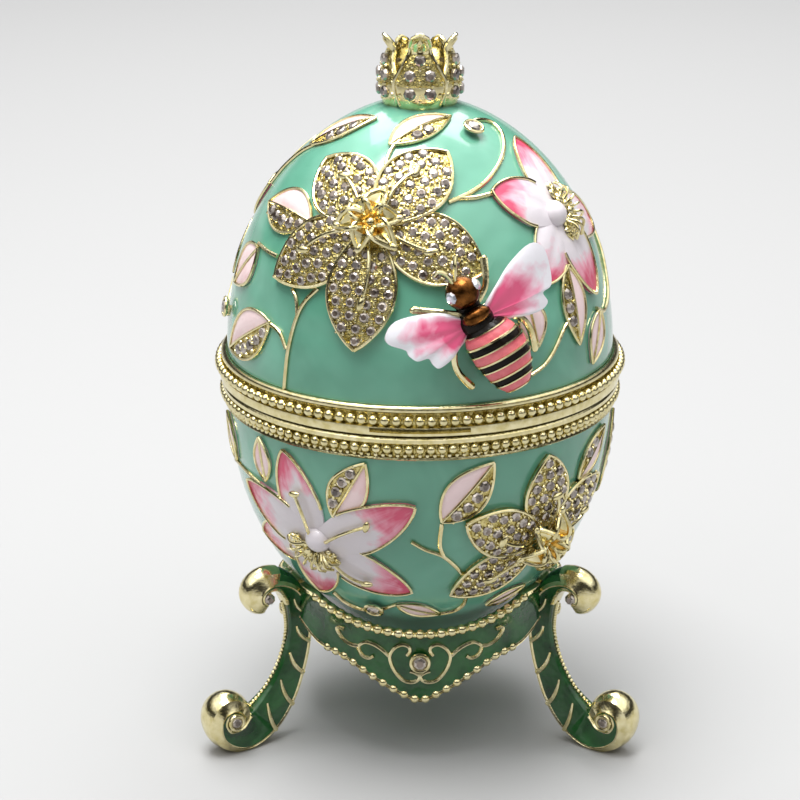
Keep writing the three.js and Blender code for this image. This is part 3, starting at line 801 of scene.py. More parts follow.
def dress(part, body):
    relief = Relief()
    for _, kind, middle, breadth, tips in flowers_of(part):
        grow = relief.enamel_flower if kind == "enamel" else relief.jewelled_flower
        grow(middle, breadth, tips)
    for leaf in LEAVES[part]:
        relief.leaf(*leaf)
    for stem in STEMS[part]:
        relief.stem(stem)
    relief.finish(part, body)


for part, body in BODY.items():
    dress(part, body)


# Stamens

# In a jewelled flower: the straps, their two lengths, half breadth, foot, arch and groove, and the anthers
STRAPS = 6
STRAP_REACH = (5.4, 6.8)
STRAP_HALF = 1.9
STRAP_FOOT = 2.4
STRAP_ARCH = 2.6
STRAP_GROOVE = 1.3
JEWELLED_ANTHER = (0.75, 1.5, 0.55)
# In an enamel flower: the lumps and curls of its tuft, a curl's line as distance out and height, the
# anthers, and the dome's radius, height and shift away from the tuft
LUMPS = 96
CURLS = 8
CURL = [(2.0, 1.4), (3.4, 2.8), (4.8, 2.9), (6.0, 1.7)]
ENAMEL_ANTHER = (0.7, 1.35, 0.6)
DOME = (2.7, 2.4, 1.1)


def filament(bm, middle, tip, bend, lift, reach, anther):
    """A thin wire that winds out along a petal and ends in an oval anther."""
    way = Patch(on_the_way(middle, tip, 0.1), tip)
    knots = []
    for t in (reach * share for share in (0.04, 0.28, 0.52, 0.78, 1.0)):
        aside = 1.3 * bend * sin(4.5 * t)
        knots.append(way.curved(aside, (t - 0.5) * way.length, lift + 0.6 * sin(5 * t)))
    rods(bm, [flowing(knots, 4)], WIRE["filament"])
    stamp(bm, BEAD, knots[-1], outward(knots[-1]), anther, 0.7 + bend)


def jewelled_heart(bm, place, middle, tips):
    """A star of folded straps, each a groove between two raised edges, with curled wires between them."""
    for k in range(STRAPS):
        angle = tau * (k + 0.25) / STRAPS + random.uniform(-0.15, 0.15)
        reach = STRAP_REACH[k % 2] * random.uniform(0.92, 1.08)

        def strap(s, t):
            r = mix(0.5, reach, t)
            side = s * STRAP_HALF * sin(pi * (0.16 + 0.8 * t)) ** 0.8
            arch = STRAP_ARCH * sin(pi * t ** 0.8) ** 0.9
            groove = STRAP_GROOVE * (abs(s) - 1) * sin(pi * t)
            return place.flat(r * cos(angle) - side * sin(angle),
                              r * sin(angle) + side * cos(angle), STRAP_FOOT + arch + groove)

        _, faces = sheet(bm, 4, 10, lambda a, b: strap(2 * a - 1, b), lambda a, b: 1 if b < 0.5 else 0)
        bmesh.ops.solidify(bm, geom=faces, thickness=0.35)
        rods(bm, [[strap(s, i / 12) for i in range(13)] for s in (-1, 1)], WIRE["strap"])
        stamp(bm, BEAD, strap(0, 1), place.normal, (1.1, 0.8, 0.7), angle)
    stamp(bm, BEAD, place.flat(0, 0, STRAP_FOOT), place.normal, (1.3, 1.3, 1.0))
    for k, tip in enumerate(tips):
        filament(bm, middle, tip, (-1) ** k, 2.1, random.uniform(0.45, 0.58), JEWELLED_ANTHER)


def enamel_heart(bm, place, middle, tips, side, carriers):
    """A crumpled tuft of gold on one side of the throat, and long filaments."""
    for _ in range(LUMPS):
        angle = radians(side + random.uniform(-88, 88))
        r = random.uniform(1.9, 5.6)
        lump = place.polar(r, angle, random.uniform(0.7, 2.9 - 0.35 * r))
        size = (random.uniform(0.4, 0.75), random.uniform(0.6, 1.25), random.uniform(0.35, 0.6))
        stamp(bm, BEAD, lump, place.normal, size, random.uniform(0, pi))
    for k in range(CURLS):
        angle = radians(side + mix(-80, 80, k / (CURLS - 1)))
        rods(bm, [flowing([place.polar(r, angle, w) for r, w in CURL], 4)], WIRE["tuft"])
    for k in carriers:
        filament(bm, middle, tips[k], (-1) ** k, 1.5, 0.52, ENAMEL_ANTHER)


def stamens(part, body):
    bm = bmesh.new()
    nodes = []
    for name, kind, middle, _, tips in flowers_of(part):
        nodes.append(f"stamens_{name}")
        if kind == "jewelled":
            jewelled_heart(bm, upright(*middle), middle, tips)
        else:
            enamel_heart(bm, upright(*middle), middle, tips, *THROATS[name])
    piece(f"{part}_stamens", bm, [GOLD, AMBER], body, "gold", nodes)


def throats(part, body):
    """The white dome in the throat of each enamel flower, which its tuft half surrounds."""
    radius, height, shift = DOME
    bm = bmesh.new()
    for name, kind, middle, _, _ in flowers_of(part):
        if kind == "enamel":
            place = upright(*middle)
            away = radians(THROATS[name][0] + 180)

            def dome(a, b):
                level = b * pi / 2
                reach = radius * cos(level)
                return place.flat(reach * cos(tau * a) + shift * cos(away),
                                  reach * sin(tau * a) + shift * sin(away),
                                  0.4 + height * sin(level))

            sheet(bm, 20, 8, dome)
    grid = shares_of(bm)
    for face in bm.faces:
        for loop in face.loops:
            loop[grid].uv = (0.5, 0.0)
    piece(f"{part}_throats", bm, [PETAL], body, "mint_enamel")


for part, body in BODY.items():
    stamens(part, body)
    throats(part, body)


# Bezel rings and the hinge

# The rings' profiles, as radius and height from the seam, and the row of each that lies behind its beads,
# which takes the darker gold of painted shade
LID_RING = [
    (36.8, 0.2), (40.0, 0.2), (40.3, 0.45), (40.35, 0.95), (40.35, 1.84), (40.3, 2.05), (39.9, 2.2),
    (39.35, 2.35), (39.35, 4.6), (39.7, 4.75), (40.0, 5.0), (40.05, 5.4), (39.85, 5.8), (39.45, 6.05),
    (39.05, 6.05), (38.7, 5.8), (36.8, 5.8), (36.8, 0.2),
]
LID_RECESS = 7
BOWL_RING = [
    (35.2, -4.4), (38.6, -4.4), (38.8, -4.75), (39.3, -4.8), (39.55, -4.5), (39.4, -4.2), (38.95, -4.0),
    (38.95, -1.65), (39.7, -1.5), (39.95, -1.2), (39.95, -0.5), (39.7, -0.2), (36.3, -0.2), (36.3, 2.0),
    (36.1, 2.2), (35.2, 2.2), (35.2, -4.4),
]
BOWL_RECESS = 6
RING_COLUMNS = 120
# The nail slot: how far forward it starts, its lowest and highest place, and its depth
SLOT = (39.4, 0.9, 1.9, 1.5)
# How far forward of the hinge its leaves reach, as a distance from the egg's axis
LEAF_END = 37.8


def bead_row(bm, count, radius, height, size, bead=BEAD):
    for k in range(count):
        turn = 360 * k / count
        stamp(bm, bead, around(turn, radius, SEAM + height), around(turn, 1, 0), size)


def about_hinge(turn, radius, along):
    angle = radians(turn)
    return Vector((along, HINGE_Y + radius * cos(angle), SEAM + radius * sin(angle)))


def knuckle(bm, start, end, sign):
    """A barrel round the pin, and the leaf that joins it to its ring."""
    outer, bore = KNUCKLE
    cut = 0.2
    ring = [(bore, start), (outer - cut, start), (outer, start + cut), (outer, end - cut),
            (outer - cut, end), (bore, end), (bore, start)]
    lathe(bm, ring, 24, about_hinge)
    reach = HINGE_Y - LEAF_END
    middle = Vector(((start + end) / 2, HINGE_Y - reach / 2 - 1.0, SEAM + sign * 1.05))
    size = (end - start, reach - 2.0, 1.7)
    made = bmesh.ops.create_cube(bm, size=1.0, matrix=Matrix.LocRotScale(middle, None, size))
    edges = list({edge for vert in made["verts"] for edge in vert.link_edges})
    bmesh.ops.bevel(bm, geom=edges, offset=0.25, segments=2, profile=0.5, affect="EDGES", material=-1)


def lid_bezel():
    bm = bmesh.new()
    half_column = 180 / RING_COLUMNS
    upright_lathe(bm, LID_RING, RING_COLUMNS, lambda row: 1 if row == LID_RECESS else 0, offset=half_column)
    forward, low, high, depth = SLOT
    middles = {face: face.calc_center_median() for face in bm.faces}
    slot = [face for face, at in middles.items() if low < at.z - SEAM < high and at.y < -forward]
    bmesh.ops.recalc_face_normals(bm, faces=bm.faces)
    bmesh.ops.inset_region(bm, faces=slot, thickness=0.03, depth=-depth, use_even_offset=True)
    bead_row(bm, 116, 40.3, 3.45, 1.02)
    knuckle(bm, -LID_KNUCKLE, LID_KNUCKLE, 1)
    piece("lid_bead_rim", bm, [GOLD, SHADED_PLATE_GOLD], "lid", "gold", ["lid_bezel"])


def bowl_bezel():
    bm = bmesh.new()
    upright_lathe(bm, BOWL_RING, RING_COLUMNS, lambda row: 1 if row == BOWL_RECESS else 0)
    bead_row(bm, 121, 39.55, -2.4, 0.95)
    bead_row(bm, 180, 39.4, -3.65, 0.5, GRAIN)
    near, far = BOWL_KNUCKLE
    knuckle(bm, -far, -near, -1)
    knuckle(bm, near, far, -1)
    piece("bowl_bead_rim", bm, [GOLD, SHADED_PLATE_GOLD], "base", "gold", ["bowl_bezel"])


def hinge_pin():
    bm = bmesh.new()
    lathe(bm, [(0.0, -7.9), (0.6, -7.9), (0.8, -7.7), (0.8, 7.7), (0.6, 7.9), (0.0, 7.9)], 20, about_hinge)
    piece("hinge_rod", bm, [GOLD], "base", "gold", ["hinge_pin"])


lid_bezel()
bowl_bezel()
hinge_pin()


# The crown finial

# Its height on the egg; a leaf's radius at heights above that, and half its breadth in degrees at shares of
# its length; how far each leaf stands out over its neighbours, and its tip's height; and the cup's profile
CROWN_TOP = SEAM + WAIST + LID[0] + 0.3
CROWN_FOOT = -0.85
CROWN_PROFILE = [(CROWN_FOOT, 7.1), (1.2, 7.7), (3.6, 8.0), (7.0, 7.1), (9.2, 6.1), (10.6, 6.4),
                 (12.0, 7.4)]
CROWN_SPREAD = [(0.0, 31.0), (0.22, 38.0), (0.36, 37.0), (0.5, 30.0), (0.63, 23.0), (0.75, 18.0),
                (0.88, 15.5), (0.95, 11.0), (1.0, 2.0)]
CROWN_LAYERS = (0.4, 0.0, 0.35, 0.1, 0.0)
CROWN_HEIGHTS = (12.8, 12.0, 10.4, 10.4, 12.0)
CROWN_CUP = [(0.0, 0.0), (4.0, -0.3), (6.7, CROWN_FOOT), (7.0, -0.6), (6.9, 0.6), (5.6, 2.6), (0.0, 3.0)]
# Stones and grains on a leaf, as shares across and along it
CROWN_STONES = [(0.0, 0.64), (-0.4, 0.43), (0.4, 0.43), (-0.37, 0.18), (0.37, 0.18)]
CROWN_GRAINS = [(-0.42, 0.56), (0.42, 0.56), (0.0, 0.52), (-0.84, 0.34), (0.84, 0.34), (0.0, 0.36),
                (0.0, 0.28), (-0.8, 0.16), (0.8, 0.16), (0.0, 0.07), (0.0, 0.77), (-0.45, 0.3), (0.45, 0.3)]


def crown_leaf_point(leaf, s, t, lift=0.0):
    height = mix(CROWN_FOOT, CROWN_HEIGHTS[leaf], t)
    turn = 360 * leaf / len(CROWN_LAYERS) + s * between(CROWN_SPREAD, t)
    radius = between(CROWN_PROFILE, height) + 0.4 * (1 - s * s) - 0.3 + CROWN_LAYERS[leaf] + lift
    return around(turn, radius, CROWN_TOP + height)


def crown():
    bm = bmesh.new()
    plates = bmesh.new()
    stones = bmesh.new()
    upright_lathe(bm, CROWN_CUP, 40, base=CROWN_TOP)
    rows = 20
    for leaf in range(len(CROWN_LAYERS)):
        turn = 360 * leaf / len(CROWN_LAYERS)
        _, faces = sheet(plates, 10, rows, lambda a, b: crown_leaf_point(leaf, 2 * a - 1, b))
        bmesh.ops.solidify(plates, geom=faces, thickness=0.9)
        left, right = ([crown_leaf_point(leaf, s, i / rows, 0.1) for i in range(rows + 1)] for s in (-1, 1))
        rods(bm, [[*left, *reversed(right)]], WIRE["crown"])
        for s, t in CROWN_STONES:
            seat = crown_leaf_point(leaf, s, t, 0.05)
            stamp(stones, BRILLIANT, seat, around(turn + 30 * s, 1, 0), GEM["crown"], 0.3 * leaf)
        for s, t in CROWN_GRAINS:
            stamp(bm, GRAIN, crown_leaf_point(leaf, s, t, 0.12), around(turn, 1, 0), 0.42)
    piece("crown", bm, [GOLD], "lid", "gold", ["crown_finial"])
    # Outer faces, which hold the stones, take the darker gold of painted shade; inner faces take the plain
    # gold.
    for face in plates.faces:
        inner = face.normal.dot(face.calc_center_median() - around(0, 0, CROWN_TOP)) < 0
        face.material_index = int(inner)
    piece("crown_leaves", plates, [SHADED_PLATE_GOLD, GOLD], "lid", "gold")
    piece("crown_stones", stones, [STONE, PAINTED_DARK_TABLE], "lid", "stone")


crown()


# The bee, placed by its own patch of the lid: u across it, v towards its head and w off the egg

# Its line from tail to head, and how far its middle stands off the egg
BEE = Patch((24.4, 7.4), (7.5, 29.6))
BEE_HEIGHT = 4.2
# The body's finishes, and their numbers
BEE_FINISHES = [GOLD, CORAL, BLACK, COPPER]
RIDGE, PINK, DARK, BRONZE = range(4)
# The abdomen: where it starts, half its breadth and height, its bands from there to the tail, how far it
# leans aside and how its girth changes at shares of its length
ABDOMEN_START = 2.2
ABDOMEN_SIZE = (5.4, 3.7)
ABDOMEN = [(DARK, 1.1), (PINK, 2.2), (DARK, 1.5), (PINK, 2.1), (DARK, 1.5), (PINK, 2.0),
           (DARK, 1.5), (PINK, 1.8)]
LEAN = [(0.0, 0.6), (0.35, 1.3), (0.6, 1.5), (1.0, 1.3)]
GIRTH = [(0.0, 0.62), (0.06, 0.78), (0.16, 0.92), (0.3, 1.0), (0.45, 1.0), (0.6, 0.93), (0.75, 0.81),
         (0.88, 0.66), (0.96, 0.51), (1.0, 0.36)]
RIDGE_HEIGHT = 0.26
# Thorax, saddle, head and neck: finish, place, half sizes, and how many columns and rows
MASSES = [
    (DARK, (0, 3.2, -0.2), (3.4, 3.2, 2.8), (24, 14)),
    (BRONZE, (0, 4.5, 1.9), (2.9, 1.5, 1.7), (20, 12)),
    (BRONZE, (0, 9.2, 0.5), (3.3, 3.1, 2.9), (24, 14)),
    (DARK, (0, 6.6, -0.4), (2.4, 1.6, 2.0), (20, 10)),
]
# Each wing's edge from its root, outwards and towards the head
WINGS = {
    -1: [(1.9, 4.7), (4.8, 7.6), (8.3, 9.5), (13.6, 11.1), (16.4, 9.9), (16.8, 8.2), (14.5, 5.6),
         (14.4, 4.3), (13.5, 2.7), (11.4, 2.0), (11.2, 0.6), (10.4, -0.6), (7.4, -0.4), (4.8, 0.6),
         (2.6, 1.4)],
    1: [(1.8, 4.7), (6.3, 7.4), (10.2, 9.6), (15.1, 11.0), (17.0, 9.2), (16.5, 5.4), (15.2, 2.3),
        (13.2, 1.8), (13.3, -0.1), (11.9, -0.9), (9.4, -0.7), (5.7, 0.5), (2.7, 1.6)],
}
WING_ROOT = Vector((1.8, 3.2, 0))
# Legs and feelers, from the body outwards
LIMBS = [
    [(-1.5, 5.2, 3.6), (-4.4, 7.4, 3.8), (-9.2, 10.6, 2.6)],
    [(1.5, 6.0, 3.6), (4.6, 8.2, 4.2), (6.9, 12.4, 3.2)],
    [(2.0, 2.6, 3.2), (5.0, 1.8, 3.8), (7.7, -0.6, 4.2), (8.4, -3.6, 3.2), (8.0, -7.6, 1.2)],
    [(-2.0, 2.0, 3.2), (-5.0, 1.4, 3.8), (-6.8, -1.0, 3.2), (-7.0, -4.0, 2.2), (-5.8, -7.6, 1.2)],
    [(2.0, 4.4, 3.2), (6.0, 4.4, 2.8), (10.0, 3.6, 1.4)],
    [(-2.0, 3.4, 3.2), (-6.0, 2.6, 2.4), (-9.6, 1.4, 1.2)],
]
FEELERS = [
    [(-0.9, 11.2, 5.4), (-1.3, 13.6, 6.0), (-2.3, 14.9, 5.8), (-3.4, 14.6, 5.2)],
    [(-0.6, 11.4, 5.4), (0.6, 14.2, 6.0), (1.8, 15.8, 5.4)],
]


def ovoid(bm, finish, at, size, grid):
    def point(a, b):
        angle = tau * a
        level = pi * (b - 0.5)
        return BEE.flat(at[0] + size[0] * cos(angle) * cos(level),
                        at[1] + size[1] * sin(level),
                        BEE_HEIGHT + at[2] + size[2] * sin(angle) * cos(level))

    sheet(bm, *grid, point, lambda a, b: finish)


def abdomen(bm):
    """Bands of enamel from the waist to the tail, each closed by a gold ridge."""
    rows = []
    at = ABDOMEN_START
    for fill, width in ABDOMEN:
        for share in (0.0, 0.25, 0.5, 0.75, 1.0):
            rows.append((at - width * share * 0.76, fill, 0.0))
        rows.append((at - width * 0.8, RIDGE, RIDGE_HEIGHT))
        rows.append((at - width * 0.96, RIDGE, RIDGE_HEIGHT))
        at -= width
    total = sum(width for _, width in ABDOMEN)

    def point(a, b):
        v, _, ridge = rows[round(b * (len(rows) - 1))]
        share = (ABDOMEN_START - v) / total
        wide, high = (half * between(GIRTH, share) + ridge for half in ABDOMEN_SIZE)
        angle = tau * a
        return BEE.flat(between(LEAN, share) + wide * cos(angle), v,
                        BEE_HEIGHT + high * sin(angle))

    sheet(bm, 32, len(rows) - 1, point, lambda a, b: rows[int(b * (len(rows) - 1)) + 1][1])
    ovoid(bm, PINK, (LEAN[-1][1], ABDOMEN_START - total + 0.9, 0), (1.8, 1.1, 1.3), (16, 8))


def wing(bm, side):
    """A lobed wing, its ribs fanning out from the root, thin and lifted towards the tip."""
    edge = flowing([Vector((u, v, 0)) for u, v in WINGS[side]], 4)
    columns = len(edge) - 1

    def point(a, b):
        reach = WING_ROOT + (edge[round(a * columns)] - WING_ROOT) * b
        ribs = 0.22 * sin(tau * 4 * a) * b * (1 - 0.5 * b)
        roll = -0.5 * b ** 6
        return BEE.flat(side * reach.x, reach.y, BEE_HEIGHT + 0.1 + 0.13 * reach.x + ribs + roll)

    made, faces = sheet(bm, columns, 10, point)
    bmesh.ops.remove_doubles(bm, verts=made, dist=WELD)
    faces = [face for face in faces if face.is_valid]
    bmesh.ops.recalc_face_normals(bm, faces=faces)
    bmesh.ops.solidify(bm, geom=faces, thickness=0.75)


def bee():
    body = bmesh.new()
    abdomen(body)
    for mass in MASSES:
        ovoid(body, *mass)
    gold = bmesh.new()
    for limb in LIMBS:
        line = flowing([BEE.flat(*knot) for knot in limb], 6)
        rods(gold, [line], WIRE["limb"], lambda t: 1.0 - 0.2 * sin(pi * t))
        stamp(gold, BEAD, line[-1], BEE.normal, 0.68)
    rods(gold, [flowing([BEE.flat(*knot) for knot in feeler], 6) for feeler in FEELERS], WIRE["feeler"])
    wings = bmesh.new()
    eyes = bmesh.new()
    for side in (-1, 1):
        wing(wings, side)
        direction = (BEE.across * side * 0.8 + BEE.normal * 0.55 + BEE.along * 0.15).normalized()
        stamp(eyes, BRILLIANT, BEE.flat(side * 2.5, 9.6, BEE_HEIGHT + 1.7), direction, GEM["bee"])
    piece("bee_body", body, BEE_FINISHES, "lid", "bee_enamel", ["bee"])
    piece("bee_limbs", gold, [GOLD], "lid", "gold")
    piece("bee_wings", wings, [WING], "lid", "bee_enamel")
    piece("bee_eyes", eyes, [CLEAR, CLEAR], "lid", "stone")


bee()


# The stand

# A bar's section: shares of its half breadth and half thickness, and whether the chamfer cuts each of them.
# Its sides are numbered from one corner to the next.
BAND_RING = [
    (1, -1, 1, 0), (1, -1, 0, 1), *((1, y / 2, 0, 0) for y in (-1, 0, 1)), (1, 1, 0, 1), (1, 1, 1, 0),
    (-1, 1, 1, 0), (-1, 1, 0, 1), *((-1, -y / 4, 0, 0) for y in range(-3, 4)), (-1, -1, 0, 1),
    (-1, -1, 1, 0),
]
FRONT_SIDE = 6
BACK_SIDE = 17
OUTER_EDGE = range(6)
BACK_EDGE = range(8, 16)
CHAMFER = 0.4
SLIGHT_SWELL = 0.15
# The width of the gold rim round sunk enamel, and how deep that lies
INLAY_RIM = 0.3
INLAY_DEPTH = 0.2
# Wires on one half of a panel, as degrees from its middle and height from its stone
SCROLLS = [
    [(-5.1, 1.4), (-3.9, 2.35), (-4.4, 3.3), (-7.0, 3.7), (-10.1, 2.75), (-11.8, 1.05), (-11.1, -0.9),
     (-9.1, -2.75), (-6.4, -4.1), (-3.3, -4.45), (-1.0, -4.0), (0.2, -3.0), (2.1, -2.3), (3.9, -2.0)],
    [(-12.2, 1.0), (-14.3, 2.0), (-17.5, 3.0), (-21.3, 3.4), (-24.1, 2.6), (-24.6, 1.8), (-24.1, 0.9),
     (-22.4, 0.2), (-20.2, 0.05), (-18.3, 0.7)],
    [(-24.2, 2.3), (-27.5, 2.2), (-31.1, 2.8), (-33.5, 4.0), (-34.5, 5.0), (-33.2, 5.3), (-31.1, 5.2)],
]


def band(bm, stations, paint):
    """A bar through stations of a middle, a half breadth, a half thickness and a swelling of its back, with
    chamfered corners; the sides that paint gives the second finish are sunk behind a rim."""
    count = len(BAND_RING)
    rows = len(stations) - 1

    def point(a, b):
        x, y, cut_x, cut_y = BAND_RING[round(a * count) % count]
        middle, breadth, thick, swell = stations[round(b * rows)]
        level = breadth.normalized() * x
        cut = min(CHAMFER, 0.4 * breadth.length)
        inward = thick.normalized() * copysign(cut, y) * cut_y
        rounded = (swell if x < 0 else SLIGHT_SWELL) * sqrt(max(1 - y * y, 0.0))
        return middle + breadth * x + thick * y - level * cut * cut_x - inward + level * rounded

    made, _ = sheet(bm, count, rows, point, lambda a, b: paint(int(a * count), b * rows))
    bmesh.ops.remove_doubles(bm, verts=made, dist=WELD)
    bmesh.ops.holes_fill(bm, edges=[edge for edge in bm.edges if edge.is_boundary], sides=2 * count)
    bmesh.ops.recalc_face_normals(bm, faces=bm.faces)
    inlay = [face for face in bm.faces if face.material_index == 1]
    rim = bmesh.ops.inset_region(bm, faces=inlay, thickness=INLAY_RIM, depth=-INLAY_DEPTH)
    for face in rim["faces"]:
        face.material_index = 0


def leg_point(turn, out, up, side):
    angle = radians(turn)
    return around(turn, out, up) - Vector((cos(angle), sin(angle), 0)) * side


def leg_line():
    """The leg's middle line in its own plane, with its sizes and its outward direction at each point."""
    line = flowing([Vector((out, up, 0)) for out, up, *_ in LEG], LEG_STEPS)
    sizes = flowing([Vector(size) for _, _, *size in LEG], LEG_STEPS)
    outer = []
    for i in range(len(line)):
        ahead = line[min(i + 1, len(line) - 1)] - line[max(i - 1, 0)]
        outer.append(Vector((-ahead.y, ahead.x, 0)).normalized())
    return line, sizes, outer


def leg_bar(turn, line, sizes, outer):
    stations = []
    for middle, size, out in zip(line, sizes, outer):
        across = out * size.x
        stations.append((leg_point(turn, middle.x, middle.y, 0), leg_point(turn, across.x, across.y, 0),
                         leg_point(turn, 0, 0, size.y), size.z))

    def paint(edge, row):
        knot = row / LEG_STEPS
        neck = edge in BACK_EDGE and NECK[0] < knot < NECK[1]
        shaft = edge in OUTER_EDGE and BEADED_EDGE[0] < knot < BEADED_EDGE[1]
        return int(edge in (FRONT_SIDE, BACK_SIDE) or neck or shaft)

    bar = bmesh.new()
    band(bar, stations, paint)
    bmesh.ops.bisect_plane(bar, geom=[*bar.verts, *bar.edges, *bar.faces], plane_co=(0, 0, FLOOR_GAP),
                           plane_no=(0, 0, -1), clear_outer=True)
    bmesh.ops.holes_fill(bar, edges=[edge for edge in bar.edges if edge.is_boundary], sides=0)
    return bar


def leg_stripe(turn, line, sizes, side, start, end):
    """A stroke on a leg's side, along a curve that bends down towards the leg's inner edge."""
    bend = (start[0] - 0.12 * (start[0] - end[0]), end[1] + 0.4 * (start[1] - end[1]))
    knots = []
    for t in (k / 8 for k in range(9)):
        out, up = (mix(mix(a, b, t), mix(b, c, t), t) for a, b, c in zip(start, bend, end))
        near = min(range(len(line)), key=lambda i: hypot(line[i].x - out, line[i].y - up))
        knots.append(leg_point(turn, out, up, side * (sizes[near].y - 0.1)))
    return knots


def stripe_swell(t):
    return 0.4 + 0.6 * sin(pi * min(0.75 * t, 0.5))


def leg(turn, bars, trim):
    line, sizes, outer = leg_line()
    join(bars, leg_bar(turn, line, sizes, outer))
    for side in (-1, 1):
        for start, end in STRIPES:
            stripe = leg_stripe(turn, line, sizes, side, start, end)
            rods(trim, [stripe], WIRE["stripe"], stripe_swell)
    for k in range(EDGE_BEADS):
        i = round(mix(*BEADED_EDGE, k / (EDGE_BEADS - 1)) * LEG_STEPS)
        edge = line[i] + outer[i] * (sizes[i].x + 0.1)
        stamp(trim, GRAIN, leg_point(turn, edge.x, edge.y, 0), leg_point(turn, 0, 0, 1), 0.46)
    for (out, up), half, radius in EYES.values():
        rods(trim, [[leg_point(turn, out, up, share * (half - 0.1)) for share in (-1, 1)]], radius)


def apron_edges(angle):
    """The heights of a panel's upper and lower edge."""
    share = abs(angle) / APRON["reach"]
    top = APRON["top"] + APRON["rise"] * min(share, 1.15) ** 2
    rounding = 0.07
    low = APRON["tip"] + (APRON["shoulder"] - APRON["tip"]) * (hypot(share, rounding) - rounding)
    ease = min(max((share - 0.66) / 0.5, 0.0), 1.0)
    low -= APRON["fillet"] * ease * ease * (3 - 2 * ease)
    return top, min(low, top - 4)


def apron_point(turn, z, lift):
    return around(turn, APRON["radius"] + APRON["half"] + lift, z)


def apron(turn, bars, trim):
    stations = []
    for i in range(2 * APRON_STEPS + 1):
        angle = APRON["span"] * (i / APRON_STEPS - 1)
        top, low = apron_edges(angle)
        middle = around(turn + angle, APRON["radius"], (top + low) / 2)
        breadth = Vector((0, 0, (top - low) / 2))
        stations.append((middle, breadth, around(turn + angle, APRON["half"], 0), SLIGHT_SWELL))
    bar = bmesh.new()
    band(bar, stations, lambda edge, row: int(edge == FRONT_SIDE))
    join(bars, bar)
    for k in range(-UPPER_BEADS, UPPER_BEADS + 1):
        angle = k * APRON_PITCH
        bead = around(turn + angle, APRON["radius"] + 0.5, apron_edges(angle)[0] - 0.2)
        stamp(trim, BEAD, bead, around(turn + angle, 1, 0), 1.1)
    for k in range(-LOWER_BEADS, LOWER_BEADS):
        angle = (k + 0.5) * APRON_PITCH
        bead = around(turn + angle, APRON["radius"] + 0.6, apron_edges(angle)[1] + 0.4)
        stamp(trim, BEAD, bead, around(turn + angle, 1, 0), 0.98)
    for scroll in SCROLLS:
        for mirror in (-1, 1):
            knots = [apron_point(turn + mirror * angle, APRON["gem"] + rise, -0.15)
                     for angle, rise in scroll]
            rods(trim, [flowing(knots, 4)], WIRE["scroll"])


def stand():
    bars = bmesh.new()
    trim = bmesh.new()
    for turn in LEG_TURNS:
        leg(turn, bars, trim)
        apron(turn + PANEL, bars, trim)
    piece("stand_castings", bars, [GOLD, GREEN], "base", "green_enamel", ["stand"])
    piece("stand_trim", trim, [GOLD], "base", "gold")


stand()


# Single stones in their rings

def set_stone(stones, rings, point, normal, radius, ring=True):
    stamp(stones, BRILLIANT, point, normal, radius, 0.4)
    if ring:
        turn = normal.to_track_quat("Z", "Y")
        reach = radius * 1.18
        angles = [tau * i / 20 for i in range(21)]
        circle = [point + turn @ Vector((reach * cos(a), reach * sin(a), 0.35)) for a in angles]
        rods(rings, [circle], WIRE["ring"])


def stand_stones(stones, rings):
    """The stones of the panels and of the scrolls' eyes; gives the nodes that they stand for."""
    nodes = []
    for i, turn in enumerate(LEG_TURNS):
        panel = turn + PANEL
        set_stone(stones, rings, apron_point(panel, APRON["gem"], 0.1), around(panel, 1, 0), GEM["panel"])
        nodes.append(f"stone_apron_{i + 1}")
        for level, (eye, half, radius) in EYES.items():
            for side, letter in ((1, "a"), (-1, "b")):
                seat = leg_point(turn, *eye, side * (half - 0.2))
                set_stone(stones, rings, seat, leg_point(turn, 0, 0, side), radius, level == "lower")
                nodes.append(f"stone_leg_{i + 1}_{level}_{letter}")
    return nodes


def single_stones(part, body):
    stones = bmesh.new()
    rings = bmesh.new()
    nodes = []
    for i, at in enumerate(SEATS[part]):
        point = on_egg(*at, 0.9)
        set_stone(stones, rings, point, outward(point), GEM["seat"])
        nodes.append(f"stone_{part}_{i + 1}")
    if part == "bowl":
        nodes += stand_stones(stones, rings)
    piece(f"{part}_single_stones", stones, [STONE, PAINTED_DARK_TABLE], body, "stone", nodes)
    piece(f"{part}_stone_rings", rings, [GOLD], body, "gold")


for part, body in BODY.items():
    single_stones(part, body)
for stamped in (BRILLIANT, BEAD, GRAIN):
    bpy.data.meshes.remove(stamped)


# Studio, in metres

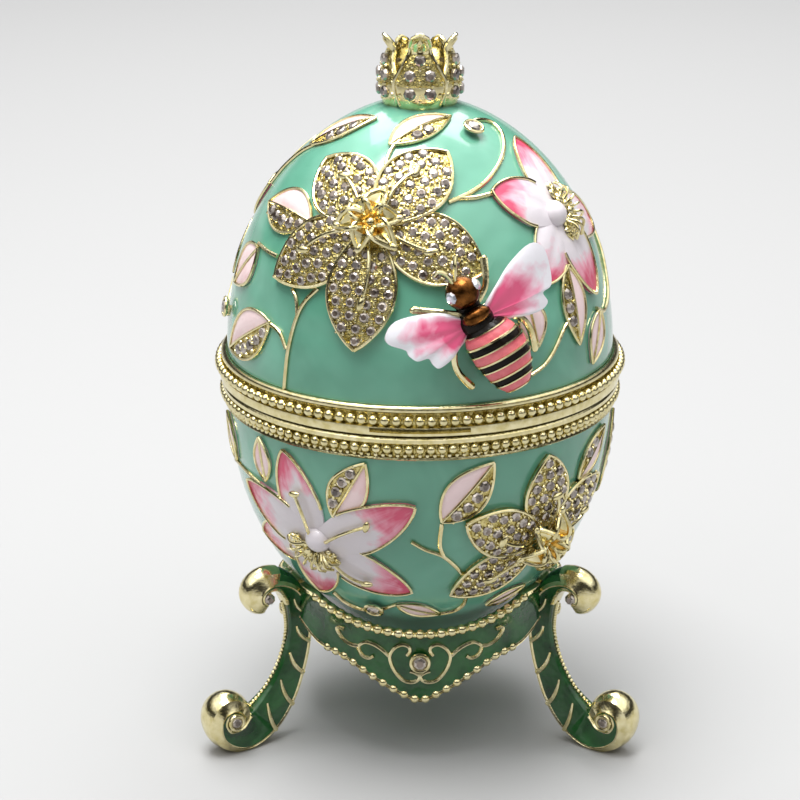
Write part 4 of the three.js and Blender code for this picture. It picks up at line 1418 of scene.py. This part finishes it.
# Lights: place, aim, size and power
LIGHTS = {
    "key": ((-0.45, -0.5, 0.7), (0, 0, 0.08), 0.4, 0.4),
    "fill": ((0.6, -0.5, 0.4), (0, 0, 0.08), 0.4, 0.12),
    "top": ((-0.08, -0.06, 0.8), (0, 0, 0.08), 0.4, 6.5),
    "back": ((0, 0.7, 0.9), (0, 0.6, 0), 0.8, 8.0),
}
# The camera: how far it is in front of the egg's axis and above the seam, its tilt down, lens and shift
CAMERA_BACK = 0.42
CAMERA_RISE = 0.14121
CAMERA_TILT = 19.38
LENS = 98.43
SHIFT = -0.025


def floor():
    bm = bmesh.new()
    bmesh.ops.create_grid(bm, x_segments=1, y_segments=1, size=12.0)
    mesh = mesh_of(bm, "floor")
    paper = Finish("pale_paper", {"Base Color": tint(163, 163, 163), "Roughness": 0.9})
    mesh.materials.append(paper.material)
    place_in_scene("floor", mesh)


def tent():
    """A soft tent round the box: bright overhead, dim at the sides, and pale down to the floor."""
    world = bpy.data.worlds.new("studio")
    world.use_nodes = True
    nodes = Nodes(world.node_tree)
    direction = nodes.node("ShaderNodeTexCoord", output="Generated")
    side = nodes.part_of(direction, "X")
    height = nodes.part_of(direction, "Z")
    pale, dim, bright = ((shade, shade, shade, 1.0) for shade in (0.6, 0.04, 1.5))
    glow = nodes.ramp(height * (1.0 + 0.4 * side.math("ABSOLUTE", side)), [
        (0.08, pale), (0.2, dim), (0.5, dim), (0.9, bright)])
    nodes.plug(world.node_tree.nodes["Background"].inputs["Color"], glow)
    bpy.context.scene.world = world
    bpy.context.scene.view_settings.view_transform = "Standard"


def lights():
    for name, (place, aim, size, power) in LIGHTS.items():
        light = bpy.data.lights.new(name, "AREA")
        light.energy = power
        light.size = size
        lamp = place_in_scene(name, light)
        lamp.location = place
        lamp.rotation_euler = (Vector(aim) - Vector(place)).to_track_quat("-Z", "Y").to_euler()


def camera():
    lens = bpy.data.cameras.new("camera")
    lens.lens = LENS
    lens.sensor_width = 36.0
    lens.shift_x = SHIFT
    eye = place_in_scene("camera", lens)
    eye.location = (AXIS.x, AXIS.y - CAMERA_BACK, SEAM / 1000 + CAMERA_RISE)
    eye.rotation_euler = (radians(90 - CAMERA_TILT), 0, 0)
    bpy.context.scene.camera = eye


floor()
tent()
lights()
camera()
